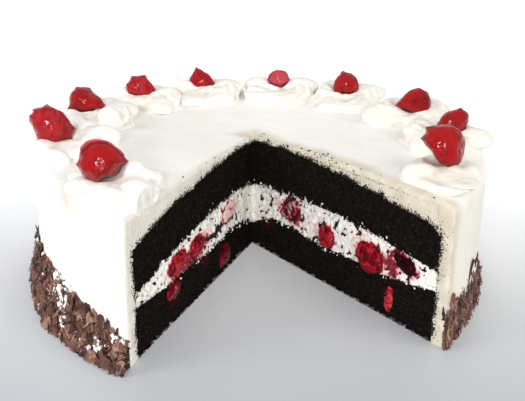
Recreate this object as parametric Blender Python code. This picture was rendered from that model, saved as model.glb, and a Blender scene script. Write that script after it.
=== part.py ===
"""Black forest cake with two slices taken out.

Two chocolate sponges hold a layer of cream and cherries. A cream coat covers
the top and side, a border of piped dollops carries cherries, and chocolate
shavings are pressed on round the foot.

Metres, +Z up. The origin is at the centre of the cake, on the plate.
"""
import bpy
import bmesh
import math
from mathutils import Matrix, Vector, noise

MM = 0.001
GAP = 0.3 * MM               # room kept between solids that touch

# Outline of the coated cake. It is round, and has spread a little on both
# sides of the open cut.
CAKE_RADIUS = 118.3 * MM
CUT_SPREAD = 24 * MM
SPREAD_HEADING = math.radians(-83)
SPREAD_POWER = 4
SIDE_COAT = 7 * MM           # cream on the side of the sponges
SIDE_BULGE = 0.4 * MM

# The cut. Both faces are upright and meet just behind the centre.
CUT_CORNER = Vector((-4.1 * MM, 17.5 * MM))
LEFT_HEADING = math.radians(249.64)
RIGHT_HEADING = math.radians(-53.27)

RAYS = 36                    # upright planes that the round layers are lofted through
STATIONS = (0.0, 0.15, 0.35, 0.57, 0.79, 1.0)

# Heights of the layer lines in mm, every 20 mm from the cut's corner to the
# side: along the left face, along the right face, and inside the cake.
LINE_STEP = 20 * MM
LINES = {
    "lower_sponge_top": {
        "left": (13.0, 23.0, 19.0, 19.0, 21.5, 21.0, 22.0, 25.0),
        "right": (13.0, 25.0, 20.0, 19.0, 21.0, 21.0, 21.5, 26.0),
        "inside": (13.0, 20.0, 21.0, 21.0, 21.0, 21.0, 21.0, 21.0),
    },
    "filling_top": {
        "left": (37.0, 40.5, 41.0, 39.5, 38.8, 36.5, 34.0, 31.0),
        "right": (37.0, 39.5, 40.3, 40.5, 41.7, 39.0, 37.5, 35.5),
        "inside": (37.0, 39.0, 39.5, 39.0, 38.0, 37.0, 36.0, 35.0),
    },
    "upper_sponge_top": {
        "left": (61.5, 63.5, 63.2, 62.3, 60.5, 59.0, 57.6, 52.0),
        "right": (61.5, 65.0, 64.7, 63.3, 61.9, 60.5, 58.5, 55.5),
        "inside": (61.5, 62.5, 62.5, 61.5, 60.0, 58.5, 57.0, 55.0),
    },
}
LINE_FADE = math.radians(50)  # how far a face's lines are felt into the cake

# Cream coat: thin over the corner of the cut, level under the border.
COAT_CORNER_TOP = 65.0 * MM
COAT_TOP = 69.0 * MM
COAT_LEVEL_FROM = 68 * MM
COAT_EDGE_RADIUS = 4 * MM

# Cherries of the border: heading in degrees, distance from the centre and
# height of the middle, then half length, half width and half height in mm,
# and the turn in degrees.
BORDER_CHERRIES = (
    (229.6, 107.0, 81.2, 11.6, 9.8, 10.4, 20),
    (193.0, 106.5, 82.0, 11.0, 10.0, 10.2, 140),
    (163.7, 103.8, 81.0, 11.0, 9.6, 8.2, 75),
    (136.2, 102.5, 80.0, 9.4, 8.8, 7.8, 200),
    (111.5, 103.0, 80.0, 9.0, 8.6, 7.8, 310),
    (83.6, 101.5, 79.2, 8.2, 7.8, 6.6, 50),
    (57.8, 101.0, 80.0, 8.8, 8.8, 8.6, 250),
    (25.8, 98.5, 80.0, 10.4, 9.4, 7.8, 120),
    (-1.3, 101.2, 80.0, 9.8, 9.2, 8.2, 15),
    (-31.6, 102.2, 81.5, 10.6, 10.2, 10.4, 170),
)

# Dollops: one wide swirl under each cherry, side by side all round. The two
# next to the cut lie further out than the rest: heading in degrees, distance
# from the centre, and radius in mm.
DOLLOPS_BY_CUT = {1: (232.4, 104.8, 19.0), 10: (-34.6, 104.5, 18.0)}
DOLLOP_RADIUS = 21.5 * MM    # at most, where the next dollops leave room
DOLLOP_RING = 97.5 * MM
DOLLOP_HEIGHT = 12 * MM
DOLLOP_LOBES = 6
LOBE_DEPTH = 0.07
POINTS_A_LOBE = 3
SWIRL_RINGS = ((0.9, 0.0), (1.0, 0.25), (0.88, 0.6), (0.6, 0.88), (0.25, 0.97))
SWIRL_STEP = math.radians(14)

# Cherries of the filling: face, distance along it from the corner, height,
# half length, half height in mm, and tilt in degrees.
FILLING_CHERRIES = (
    ("left", 96, 29.0, 10.5, 6.0, -6),
    ("left", 101, 17.0, 8.5, 4.6, 8),
    ("left", 74.5, 28.5, 9.0, 6.0, -14),
    ("left", 34, 32.5, 9.5, 5.0, -22),
    ("left", 39.5, 9.3, 8.4, 6.4, -36),
    ("right", 34, 31.5, 11.0, 4.4, 34),
    ("right", 64, 26.0, 7.0, 6.8, 0),
    ("right", 96, 26.5, 11.5, 8.8, 0),
    ("right", 119, 32.0, 7.4, 4.2, -22),
    ("right", 111, 10.0, 3.6, 6.8, 0),
)
FILLING_CHERRY_DEPTH = 0.55  # half depth as a share of the half size
FILLING_CHERRY_SUNK = 0.45   # how far the middle lies behind the face, as a share of that
POCKET_SCALE = 1.06

# Shavings pressed on round the foot. They reach highest at the front, and
# spread out into a deeper heap on the left of the cut.
SHAVINGS_RAYS = 40
SHAVINGS_TOPS = (             # heading in degrees, and height in mm
    (-54, 17.0), (-49, 23.0), (-38, 25.0), (-30, 24.0), (-20, 12.0), (-8, 6.5),
    (12, 6.5), (40, 11.0), (90, 16.0), (150, 20.0), (190, 23.0), (218, 25.5),
    (227, 21.0), (240, 17.5), (250, 12.5),
)
SHAVINGS_SLOPE = ((0.0, 1.0), (0.22, 0.66), (0.58, 0.33), (1.0, 0.0))
SHAVINGS_FOOT = 5.2 * MM
SHAVINGS_LIP = 1.4 * MM
SHAVINGS_UNEVEN = 2 * MM
HEAP_HEADING = math.radians(225)
HEAP_WIDTH = math.radians(24)
HEAP_DEPTH = 4.8 * MM
THIN_HEADING = math.radians(-40)
THIN_WIDTH = math.radians(22)
THIN_DEPTH = 2.7 * MM


def clear_scene():
    for item in list(bpy.data.objects):
        bpy.data.objects.remove(item, do_unlink=True)


def make_material(name, colour, roughness):
    material = bpy.data.materials.new(name)
    material.use_nodes = True
    shader = material.node_tree.nodes["Principled BSDF"]
    shader.inputs["Base Color"].default_value = (*colour, 1.0)
    shader.inputs["Roughness"].default_value = roughness
    shader.inputs["Metallic"].default_value = 0.0
    return material


def add_object(name, bm, material, smooth_angle=50):
    bmesh.ops.recalc_face_normals(bm, faces=bm.faces)
    mesh = bpy.data.meshes.new(name)
    bm.to_mesh(mesh)
    bm.free()
    mesh.materials.append(material)
    mesh.shade_smooth()
    mesh.set_sharp_from_angle(angle=math.radians(smooth_angle))
    made = bpy.data.objects.new(name, mesh)
    bpy.context.scene.collection.objects.link(made)
    return made


def direction(heading):
    return Vector((math.cos(heading), math.sin(heading)))


def outline_radius(heading):
    """Radius of the coated cake about its centre."""
    forward = max(0.0, math.cos(heading - SPREAD_HEADING))
    return CAKE_RADIUS + CUT_SPREAD * forward ** SPREAD_POWER


def reach(heading, inset=0.0):
    """Distance from the cut's corner to the side of the cake."""
    along = direction(heading)
    distance = CAKE_RADIUS
    for _ in range(12):
        point = CUT_CORNER + distance * along
        around = math.atan2(point.y, point.x)
        distance += outline_radius(around) - inset - point.length
    return distance


def even_headings(count):
    step = (LEFT_HEADING - RIGHT_HEADING) / count
    return [RIGHT_HEADING + step * i for i in range(count + 1)]


def smoothed(value):
    value = min(1.0, max(0.0, value))
    return value * value * (3 - 2 * value)


def along_line(heights, distance):
    place = min(distance / LINE_STEP, len(heights) - 1.001)
    first = int(place)
    part = place - first
    return (heights[first] * (1 - part) + heights[first + 1] * part) * MM


def line_height(name, heading, distance):
    """Height of a layer line at a point inside the cake."""
    line = LINES[name]
    left = 1 - smoothed((LEFT_HEADING - heading) / LINE_FADE)
    right = 1 - smoothed((heading - RIGHT_HEADING) / LINE_FADE)
    inside = 1 - left - right
    return (left * along_line(line["left"], distance)
            + right * along_line(line["right"], distance)
            + inside * along_line(line["inside"], distance))


def coat_top(distance):
    rise = smoothed(distance / COAT_LEVEL_FROM)
    return COAT_CORNER_TOP + (COAT_TOP - COAT_CORNER_TOP) * rise


def loft(name, profile, headings, material):
    """Closed solid through one upright profile, (distance, height), a heading.

    Every four-sided patch is split from its inner near corner to its outer far
    one, so the surfaces of two layers that face each other stay parallel.
    """
    bm = bmesh.new()
    loops = []
    for heading in headings:
        along = direction(heading)
        points = profile(heading)
        ring = []
        for distance, height in points:
            spot = CUT_CORNER + distance * along
            ring.append(bm.verts.new((spot.x, spot.y, height)))
        loops.append(ring)
    for ring, following in zip(loops, loops[1:]):
        for i in range(len(ring)):
            j = (i + 1) % len(ring)
            if points[i][0] > points[j][0]:
                i, j = j, i
            bm.faces.new((ring[i], ring[j], following[j]))
            bm.faces.new((ring[i], following[j], following[i]))
    bm.faces.new(loops[0])
    bm.faces.new(list(reversed(loops[-1])))
    bmesh.ops.remove_doubles(bm, verts=bm.verts, dist=0.01 * MM)
    return add_object(name, bm, material)


def layer_profile(lower, upper):
    """Profile of a layer between two lines, or the plate where lower is None."""
    def profile(heading):
        side = reach(heading, SIDE_COAT)
        top = [(side * u, line_height(upper, heading, side * u)) for u in STATIONS]
        if lower is None:
            bottom = [(side, 0.0), (0.0, 0.0)]
        else:
            bottom = [(side * u, line_height(lower, heading, side * u) + GAP)
                      for u in reversed(STATIONS)]
        return top + bottom
    return profile


def coat_profile(heading):
    """The coat's top and side in one piece, like an upturned L."""
    side = reach(heading)
    inner = reach(heading, SIDE_COAT - GAP)
    points = [(inner, 0.0), (side, 0.0), (side + SIDE_BULGE, 20 * MM), (side, 45 * MM)]
    for turn in (0, 30, 60, 90):
        angle = math.radians(turn)
        points.append((side - COAT_EDGE_RADIUS * (1 - math.cos(angle)),
                       COAT_TOP - COAT_EDGE_RADIUS * (1 - math.sin(angle))))
    points += [(side * u, coat_top(side * u)) for u in (0.8, 0.6, 0.4, 0.2, 0.0)]
    points += [(inner * u, line_height("upper_sponge_top", heading, inner * u) + GAP)
               for u in STATIONS]
    return points


def make_layers(sponge, cream):
    headings = even_headings(RAYS)
    return {
        "sponge_bottom": loft("sponge_bottom", layer_profile(None, "lower_sponge_top"),
                              headings, sponge),
        "filling_cream": loft("filling_cream",
                              layer_profile("lower_sponge_top", "filling_top"),
                              headings, cream),
        "sponge_top": loft("sponge_top", layer_profile("filling_top", "upper_sponge_top"),
                           headings, sponge),
        "frosting": loft("frosting", coat_profile, headings, cream),
    }


def shavings_top(heading):
    """Height of the shavings above a heading about the cake's centre."""
    degrees = math.degrees(heading)
    for (first, low), (second, high) in zip(SHAVINGS_TOPS, SHAVINGS_TOPS[1:]):
        if degrees <= second:
            return (low + (high - low) * smoothed((degrees - first) / (second - first))) * MM
    return SHAVINGS_TOPS[-1][1] * MM


def shavings_profile(heading):
    """Heap leaning on the coat, uneven in height and depth, and thin on the right of the cut."""
    wall = reach(heading) + SIDE_BULGE + GAP
    spot = CUT_CORNER + wall * direction(heading)
    around = math.atan2(spot.y, spot.x) % math.tau
    if around > math.radians(270):
        around -= math.tau
    height = shavings_top(around)
    heap = HEAP_DEPTH * math.exp(-((around - HEAP_HEADING) / HEAP_WIDTH) ** 2)
    heap -= THIN_DEPTH * math.exp(-((around - THIN_HEADING) / THIN_WIDTH) ** 2)
    spots = []
    for share, level in SHAVINGS_SLOPE:
        bump = noise.noise(Vector((7 * math.cos(heading), 7 * math.sin(heading), 2 * level)))
        depth = SHAVINGS_LIP + (SHAVINGS_FOOT + heap - SHAVINGS_LIP) * share
        depth += SHAVINGS_UNEVEN * bump * share
        spots.append((wall + depth, level * (height + SHAVINGS_UNEVEN * bump)))
    return [(wall, 0.0), (wall, spots[0][1])] + spots


def cherry_shape(bm, around, down, centre, half_sizes, turn, tilt):
    """Soft preserved cherry, squashed out of round, with one torn corner."""
    made = bmesh.ops.create_uvsphere(bm, u_segments=around, v_segments=down, radius=1.0)
    corner = Vector((0.93, 0.25, 0.2)).normalized()
    for vert in made["verts"]:
        unit = vert.co.normalized()
        heading = math.atan2(unit.y, unit.x)
        swell = 1 + 0.05 * math.sin(2 * heading + 1) + 0.04 * math.sin(3 * heading)
        torn = 0.16 * max(0.0, unit.dot(corner)) ** 5
        vert.co = unit * (swell + torn) * 0.95
    place = (Matrix.Translation(centre) @ Matrix.Rotation(turn, 4, "Z")
             @ Matrix.Rotation(tilt, 4, "Y") @ Matrix.Diagonal((*half_sizes, 1.0)))
    bmesh.ops.transform(bm, matrix=place, verts=made["verts"])


def add_cherry(name, material, segments, centre, half_sizes, turn, tilt=0.0):
    """A cherry, and the slightly larger cutter that makes room for it."""
    bm = bmesh.new()
    cherry_shape(bm, *segments, centre, half_sizes, turn, tilt)
    add_object(name, bm, material)
    bm = bmesh.new()
    larger = [size * POCKET_SCALE for size in half_sizes]
    cherry_shape(bm, *segments, centre, larger, turn, tilt)
    cutter = add_object("room_for_" + name, bm, material)
    cutter.hide_render = True
    cutter.display_type = "WIRE"
    return cutter


def carve(target, cutter):
    cut = target.modifiers.new(cutter.name, "BOOLEAN")
    cut.operation = "DIFFERENCE"
    cut.solver = "EXACT"
    cut.object = cutter


def piped_dollop(name, centre, radius, turn, material):
    """Turned heap of cream with soft lobes that wind upwards."""
    segments = DOLLOP_LOBES * POINTS_A_LOBE
    bm = bmesh.new()
    rings = []
    for level, (width, rise) in enumerate(SWIRL_RINGS):
        winding = turn + SWIRL_STEP * level
        ring = bmesh.ops.create_circle(bm, segments=segments, radius=1.0)["verts"]
        for vert in ring:
            around = math.atan2(vert.co.y, vert.co.x)
            lobe = 1 + LOBE_DEPTH * math.cos(DOLLOP_LOBES * (around - winding))
            out = vert.co * radius * width * lobe
            vert.co = centre + Vector((out.x, out.y, DOLLOP_HEIGHT * rise))
        rings.append(ring)
    for ring, following in zip(rings, rings[1:]):
        edges = [edge for edge in bm.edges
                 if all(vert in ring for vert in edge.verts)
                 or all(vert in following for vert in edge.verts)]
        bmesh.ops.bridge_loops(bm, edges=edges)
    tip = bm.verts.new(centre + Vector((0.0, 0.0, DOLLOP_HEIGHT)))
    foot = bm.verts.new(centre)
    for ring, end in ((rings[-1], tip), (rings[0], foot)):
        for i in range(segments):
            bm.faces.new((ring[i], ring[(i + 1) % segments], end))
    return add_object(name, bm, material)


def dollop_places():
    """Middle and radius of each dollop, each as wide as its neighbours let it be."""
    middles = []
    for number, entry in enumerate(BORDER_CHERRIES, 1):
        degrees, ring, _ = DOLLOPS_BY_CUT.get(number, (entry[0], DOLLOP_RING / MM, None))
        middles.append(direction(math.radians(degrees)) * ring * MM)
    places = []
    for number, middle in enumerate(middles, 1):
        near = min((middle - other).length for other in middles if other is not middle)
        radius = min(DOLLOP_RADIUS, (near - GAP) / 2 / (1 + LOBE_DEPTH))
        if number in DOLLOPS_BY_CUT:
            radius = DOLLOPS_BY_CUT[number][2] * MM
        places.append((middle, radius))
    return places


def make_border(cream, fruit):
    """Cherries on their dollops."""
    for number, (entry, place) in enumerate(zip(BORDER_CHERRIES, dollop_places()), 1):
        degrees, ring, height, long, wide, high, turn = entry
        spot = direction(math.radians(degrees)) * ring * MM
        cutter = add_cherry(f"cherry_{number:02d}", fruit, (10, 7),
                            Vector((*spot, height * MM)),
                            (long * MM, wide * MM, high * MM), math.radians(turn))
        middle, radius = place
        dollop = piped_dollop(f"dollop_{number:02d}", Vector((*middle, COAT_TOP + GAP)),
                              radius, math.radians(turn), cream)
        carve(dollop, cutter)


def make_filling_cherries(layers, fruit):
    """Cherries that show in the cut, each in a pocket of what it lies in."""
    for number, entry in enumerate(FILLING_CHERRIES, 1):
        face, distance, height, long, high, tilt = entry
        heading = LEFT_HEADING if face == "left" else RIGHT_HEADING
        along = direction(heading)
        inward = Vector((along.y, -along.x)) if face == "left" else Vector((-along.y, along.x))
        deep = FILLING_CHERRY_DEPTH * max(long, high) * MM
        spot = CUT_CORNER + along * distance * MM + inward * deep * FILLING_CHERRY_SUNK
        cutter = add_cherry(f"filling_cherry_{number:02d}", fruit, (8, 6),
                            Vector((*spot, height * MM)),
                            (long * MM, deep, high * MM), heading, math.radians(-tilt))
        line = line_height("lower_sponge_top", heading, distance * MM)
        if (height - high) * MM < line + GAP:
            carve(layers["sponge_bottom"], cutter)
        if (height + high) * MM > line:
            carve(layers["filling_cream"], cutter)


def main():
    clear_scene()
    sponge = make_material("chocolate_sponge", (0.016, 0.010, 0.008), 0.95)
    cream = make_material("whipped_cream", (0.84, 0.81, 0.72), 0.55)
    fruit = make_material("glazed_cherry", (0.50, 0.008, 0.016), 0.12)
    stewed = make_material("stewed_cherry", (0.26, 0.008, 0.018), 0.25)
    chocolate = make_material("chocolate_shavings", (0.10, 0.048, 0.030), 0.6)
    layers = make_layers(sponge, cream)
    make_filling_cherries(layers, stewed)
    make_border(cream, fruit)
    loft("shavings_band", shavings_profile, even_headings(SHAVINGS_RAYS), chocolate)


main()
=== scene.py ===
import math
import random

import bmesh
import bpy
from mathutils import Matrix, Vector, noise
from mathutils.bvhtree import BVHTree
from mathutils.kdtree import KDTree


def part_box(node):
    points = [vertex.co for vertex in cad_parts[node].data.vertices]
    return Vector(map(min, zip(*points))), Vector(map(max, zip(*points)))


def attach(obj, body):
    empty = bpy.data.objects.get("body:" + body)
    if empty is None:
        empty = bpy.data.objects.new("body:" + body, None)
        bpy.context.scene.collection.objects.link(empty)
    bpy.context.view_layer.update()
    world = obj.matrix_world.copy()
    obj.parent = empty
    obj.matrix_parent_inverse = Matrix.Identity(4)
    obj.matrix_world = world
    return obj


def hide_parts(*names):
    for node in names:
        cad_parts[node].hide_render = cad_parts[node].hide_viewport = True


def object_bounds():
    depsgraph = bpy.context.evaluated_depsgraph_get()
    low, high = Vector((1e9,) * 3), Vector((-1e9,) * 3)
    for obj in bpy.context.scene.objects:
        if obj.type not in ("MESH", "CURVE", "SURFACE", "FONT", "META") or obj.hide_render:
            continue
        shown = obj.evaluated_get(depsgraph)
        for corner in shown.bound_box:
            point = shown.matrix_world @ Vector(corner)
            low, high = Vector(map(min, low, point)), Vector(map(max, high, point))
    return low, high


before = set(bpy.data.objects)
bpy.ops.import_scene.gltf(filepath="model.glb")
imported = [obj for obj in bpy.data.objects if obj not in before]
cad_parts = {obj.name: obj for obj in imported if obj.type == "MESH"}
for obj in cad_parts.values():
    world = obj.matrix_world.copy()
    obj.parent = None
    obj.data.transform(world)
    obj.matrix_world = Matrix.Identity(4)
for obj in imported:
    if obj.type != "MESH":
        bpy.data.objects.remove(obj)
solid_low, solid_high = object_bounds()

MM = 0.001


# ---------------------------------------------------------------------------
# Table top, light and camera. The cake stands on a pale table in a bright
# white room, with a window on each side, and a smaller one and a lamp in front.
# ---------------------------------------------------------------------------
TABLE_SIZE = 12.0
TABLE_NEAR = (0.40, 0.425, 0.465)
TABLE_FAR = (0.92, 0.93, 0.94)
TABLE_FADE_FROM = -0.25
TABLE_FADE_TO = 0.30
ROOM_COLOUR = (1.0, 1.0, 1.0)
ROOM_STRENGTH = 0.68
TABLE_PAINTED_GLOW = 0.42             # painted light: how brightly the table glows far behind the cake, though it is no lamp
WINDOWS = (                   # name, place, size, power, colour, and whether gloss mirrors it
    ("window_front", (-0.22, -1.16, 0.44), 0.26, 5.6, (1.0, 0.99, 0.98), True),
    ("lamp_front", (0.06, -1.20, 0.10), 0.12, 1.5, (1.0, 1.0, 1.0), True),
    ("window_left", (-1.18, -0.42, 0.36), 0.60, 7.6, (1.0, 1.0, 1.0), False),
    ("window_right", (0.90, -0.64, 0.72), 0.80, 5.8, (1.0, 0.95, 0.85), False),
)
EYE = Vector((0.0007, -0.4254, 0.1937))
EYE_DOWN = math.radians(20.65)
EYE_TURN = math.radians(-0.11)
EYE_ROLL = math.radians(0.76)
EYE_LENS = 56.37
EYE_SENSOR = 36.0


def new_material(name):
    """An empty node tree with a Principled shader, and that shader."""
    material = bpy.data.materials.new(name)
    material.use_nodes = True
    return material, material.node_tree, material.node_tree.nodes["Principled BSDF"]


def feed(tree, node, **inputs):
    """Sets a node's inputs, and links those that are given a socket."""
    for key, value in inputs.items():
        socket = node.inputs[key.replace("_", " ")]
        if isinstance(value, bpy.types.NodeSocket):
            tree.links.new(value, socket)
        else:
            socket.default_value = value


def add_node(tree, kind, settings=None, **inputs):
    """A node with its settings and inputs."""
    made = tree.nodes.new(kind)
    for key, value in (settings or {}).items():
        setattr(made, key, value)
    feed(tree, made, **inputs)
    return made


def add_ramp(tree, factor, stops):
    """A colour ramp over (place, colour) stops."""
    ramp = add_node(tree, "ShaderNodeValToRGB", Fac=factor)
    elements = ramp.color_ramp.elements
    while len(elements) < len(stops):
        elements.new(0.5)
    for element, (place, colour) in zip(elements, stops):
        element.position = place
        element.color = (*colour, 1.0)
    return ramp.outputs["Color"]


def table_material():
    """A pale table that grows brighter towards the back, where it also glows with painted light."""
    material, tree, shader = new_material("pale_table")
    place = add_node(tree, "ShaderNodeTexCoord").outputs["Object"]
    depth = add_node(tree, "ShaderNodeSeparateXYZ", Vector=place).outputs["Y"]
    fade = add_node(tree, "ShaderNodeMapRange", {"interpolation_type": "SMOOTHSTEP"},
                    Value=depth, From_Min=TABLE_FADE_FROM, From_Max=TABLE_FADE_TO)
    colour = add_ramp(tree, fade.outputs["Result"], ((0.0, TABLE_NEAR), (1.0, TABLE_FAR)))
    painted_glow = add_ramp(tree, fade.outputs["Result"], ((0.0, (0.0, 0.0, 0.0)), (1.0, (1.0, 1.0, 1.0))))
    feed(tree, shader, Base_Color=colour, Emission_Color=painted_glow, Emission_Strength=TABLE_PAINTED_GLOW,
         Roughness=0.35, Specular_IOR_Level=0.3)
    return material


def make_table():
    """The table top, which isn't part of the cake."""
    bm = bmesh.new()
    bmesh.ops.create_grid(bm, x_segments=2, y_segments=2, size=TABLE_SIZE / 2)
    mesh = bpy.data.meshes.new("table_top")
    bm.to_mesh(mesh)
    bm.free()
    mesh.materials.append(table_material())
    table = bpy.data.objects.new("table_top", mesh)
    bpy.context.scene.collection.objects.link(table)


def light_room():
    """The bright room, and the windows and the lamp that shine on the cake."""
    world = bpy.data.worlds.new("bright_room")
    world.use_nodes = True
    sky = world.node_tree.nodes["Background"]
    sky.inputs["Color"].default_value = (*ROOM_COLOUR, 1.0)
    sky.inputs["Strength"].default_value = ROOM_STRENGTH
    bpy.context.scene.world = world
    for name, spot, size, power, colour, mirrored in WINDOWS:
        light = bpy.data.lights.new(name, "AREA")
        light.shape = "SQUARE"
        light.size = size
        light.energy = power
        light.color = colour
        lamp = bpy.data.objects.new(name, light)
        lamp.location = spot
        lamp.visible_glossy = mirrored
        lamp.rotation_mode = "QUATERNION"
        lamp.rotation_quaternion = (-Vector(spot)).to_track_quat("-Z", "Y")
        bpy.context.scene.collection.objects.link(lamp)


def set_camera():
    """The camera, a little above the cake and in front of it."""
    lens = bpy.data.cameras.new("camera")
    lens.lens = EYE_LENS
    lens.sensor_width = EYE_SENSOR
    camera = bpy.data.objects.new("camera", lens)
    turned = (Matrix.Rotation(EYE_TURN, 4, "Z") @ Matrix.Rotation(math.pi / 2 - EYE_DOWN, 4, "X")
              @ Matrix.Rotation(EYE_ROLL, 4, "Z"))
    camera.matrix_world = Matrix.Translation(EYE) @ turned
    bpy.context.scene.collection.objects.link(camera)
    bpy.context.scene.camera = camera


make_table()
light_room()
set_camera()
bpy.context.scene.view_settings.view_transform = "Standard"


# ---------------------------------------------------------------------------
# Sponges. Two discs of very dark chocolate sponge, baked, split and soaked
# with cherry syrup. They show where the knife went through, as an open,
# torn crumb, and are plain inside the coat.
# ---------------------------------------------------------------------------
CUT_CORNER = Vector((-4.1 * MM, 17.5 * MM, 0.0))
CUT_HEADINGS = {"left": math.radians(249.64), "right": math.radians(-53.27)}
LAYER_CLOSE = 0.2 * MM        # layers grow by this, so that no gap shows between them
ON_CUT = 1.2 * LAYER_CLOSE
CREASE_ANGLE = math.radians(60)
CRUMB_EDGE = 0.5 * MM         # length of the finest edges on the cut
HIDDEN_EDGE = 9 * MM          # and of those inside the cake
COARSER = {                   # layer: how much longer its edges may be than the finest
    "sponge_bottom": 1.46, "sponge_top": 1.1, "filling_cream": 1.18,
}
CRUMB_DEPTH = 0.9 * MM        # depth of the torn crumb
DRAG_HIGH = 0.9 * MM          # how far the knife dragged the layer lines up and down,
FILLING_DRAG = 1.4 * MM       # how much more round the filling,
FILLING_MIDDLE = 37 * MM
END_DRAG = 1.3 * MM           # and sideways where the sponges end
SPONGE_END = 137 * MM
SPONGE_FLECKS = -0.12         # share of cream on the sponge, and how much more next to a layer line
SPONGE_LINE_FLECKS = 0.25
FLECK_REACH = 0.9 * MM
RAGGED_FOOT = 2.2 * MM        # how far crumbs have come away along the plate
SOAKED_PATCHES = (            # face, distance from the corner, height, and reach in mm
    ("right", 13.0, 19.0, 9.0),
    ("right", 120.0, 27.0, 9.0),
    ("left", 66.0, 17.0, 8.0),
    ("left", 42.0, 12.0, 9.0),
    ("left", 100.0, 15.0, 9.0),
    ("right", 111.0, 13.0, 6.0),
)


def face_frames():
    """Direction along each cut face, and the normal that points into the cake."""
    frames = {}
    for side, heading in CUT_HEADINGS.items():
        along = Vector((math.cos(heading), math.sin(heading), 0.0))
        inward = Vector((along.y, -along.x, 0.0)) * (1 if side == "left" else -1)
        frames[side] = (along, inward)
    return frames


FACES = face_frames()


def face_spot(side, distance, height, depth=0.0):
    """A point on a cut face, or depth behind it, in metres."""
    along, inward = FACES[side]
    return CUT_CORNER + along * distance + inward * depth + Vector((0.0, 0.0, height))


def on_faces(point, within=0.1 * MM):
    """The cut faces that a point lies on."""
    found = []
    for side, (along, inward) in FACES.items():
        away = point - CUT_CORNER
        if abs(away.dot(inward)) < within and away.dot(along) > -within:
            found.append(side)
    return found


def nearest_cut(point):
    """Distance of a point behind the nearer cut face, and that face."""
    away = point - CUT_CORNER
    return min((max(abs(away.dot(inward)), -away.dot(along)), side)
               for side, (along, inward) in FACES.items())


def near_cut(point):
    """Distance of a point behind the nearer cut face."""
    return nearest_cut(point)[0]


def lumpy(point, size, *shift):
    """Lumps (+) and hollows (-), about size mm across, at a point."""
    return noise.noise(point / (size * MM) + Vector(shift or (0, 0, 0)))


def smoothed(value):
    """A share from 0 to 1 with both ends eased."""
    value = min(1.0, max(0.0, value))
    return value * value * (3 - 2 * value)


def link_piece(name, bm, material, smooth_angle=None):
    """A finished piece, at the origin, with its faces pointing out."""
    mesh = bpy.data.meshes.new(name)
    bm.to_mesh(mesh)
    bm.free()
    mesh.materials.append(material)
    mesh.shade_smooth()
    if smooth_angle is not None:
        mesh.set_sharp_from_angle(angle=math.radians(smooth_angle))
    piece = bpy.data.objects.new(name, mesh)
    bpy.context.scene.collection.objects.link(piece)
    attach(piece, "root")
    return piece


def evaluated(bm, modifiers):
    """The same shape after modifiers, given as (kind, settings)."""
    mesh = bpy.data.meshes.new("working")
    bm.to_mesh(mesh)
    bm.free()
    working = bpy.data.objects.new("working", mesh)
    bpy.context.scene.collection.objects.link(working)
    for kind, settings in modifiers:
        modifier = working.modifiers.new(kind, kind)
        for key, value in settings.items():
            setattr(modifier, key, value)
    graph = bpy.context.evaluated_depsgraph_get()
    finished = bpy.data.meshes.new_from_object(working.evaluated_get(graph))
    shape = bmesh.new()
    shape.from_mesh(finished)
    bpy.data.objects.remove(working)
    bpy.data.meshes.remove(mesh)
    bpy.data.meshes.remove(finished)
    return shape


def rounded_node(name, levels):
    """A merged copy of a node, with its edges kept and its facets rounded out."""
    bm = bmesh.new()
    bm.from_mesh(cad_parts[name].data)
    bmesh.ops.remove_doubles(bm, verts=bm.verts, dist=0.02 * MM)
    bmesh.ops.join_triangles(bm, faces=bm.faces, angle_face_threshold=math.radians(35),
                             angle_shape_threshold=math.radians(70))
    crease = bm.edges.layers.float.new("crease_edge")
    for edge in bm.edges:
        if len(edge.link_faces) != 2 or edge.calc_face_angle() > CREASE_ANGLE:
            edge[crease] = 1.0
    bm = evaluated(bm, [("SUBSURF", {"levels": levels, "render_levels": levels})])
    crease = bm.edges.layers.float.get("crease_edge")
    if crease is not None:
        bm.edges.layers.float.remove(crease)
    return bm


def refine(bm, longest_at):
    """Splits edges until each is shorter than the length wanted at its middle."""
    bmesh.ops.triangulate(bm, faces=bm.faces)
    for _ in range(10):
        too_long = []
        for edge in bm.edges:
            first, second = edge.verts
            if (first.co - second.co).length > longest_at((first.co + second.co) / 2):
                too_long.append(edge)
        if not too_long:
            break
        bmesh.ops.subdivide_edges(bm, edges=too_long, cuts=1)
        bmesh.ops.triangulate(bm, faces=[face for face in bm.faces if len(face.verts) > 3])


def make_moves(moves):
    """Makes moves, given as (vertex, move), and keeps what moves above the plate."""
    for vert, move in moves:
        vert.co += move
        vert.co.z = max(vert.co.z, solid_low.z)


def close_gap(bm):
    """Grows a layer a little on every side but the cut and the plate."""
    bm.normal_update()
    moves = []
    for vert in bm.verts:
        move = vert.normal * LAYER_CLOSE
        for side in on_faces(vert.co):
            inward = FACES[side][1]
            move -= inward * move.dot(inward)
        moves.append((vert, move))
    make_moves(moves)


def knife_drag(point):
    """How far a layer line moved at the cut, torn by the knife and the same for both layers."""
    spot = Vector((point.x, point.y, 0.1 * point.z))
    coarse = lumpy(spot, 3.6)
    fine = lumpy(spot, 1.3, 7, 3, 1)
    spikes = max(0.0, lumpy(spot, 1.7, 2, 9, 6))
    high = FILLING_DRAG * math.exp(-((point.z - FILLING_MIDDLE) / (9 * MM)) ** 2)
    torn = DRAG_HIGH * (0.5 * coarse + 0.8 * fine) + high * (4.2 * spikes ** 1.4 + 0.6 * fine - 0.35)
    along = FACES[nearest_cut(point)[1]][0]
    out = ((point - CUT_CORNER).dot(along) - SPONGE_END) / (5 * MM)
    bumps = lumpy(point, 3.1, 8, 2, 4) + 0.8 * lumpy(point, 1.2)
    up = torn * smoothed(point.z / (5 * MM))
    return along * END_DRAG * bumps * math.exp(-out * out) + Vector((0, 0, up))


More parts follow.
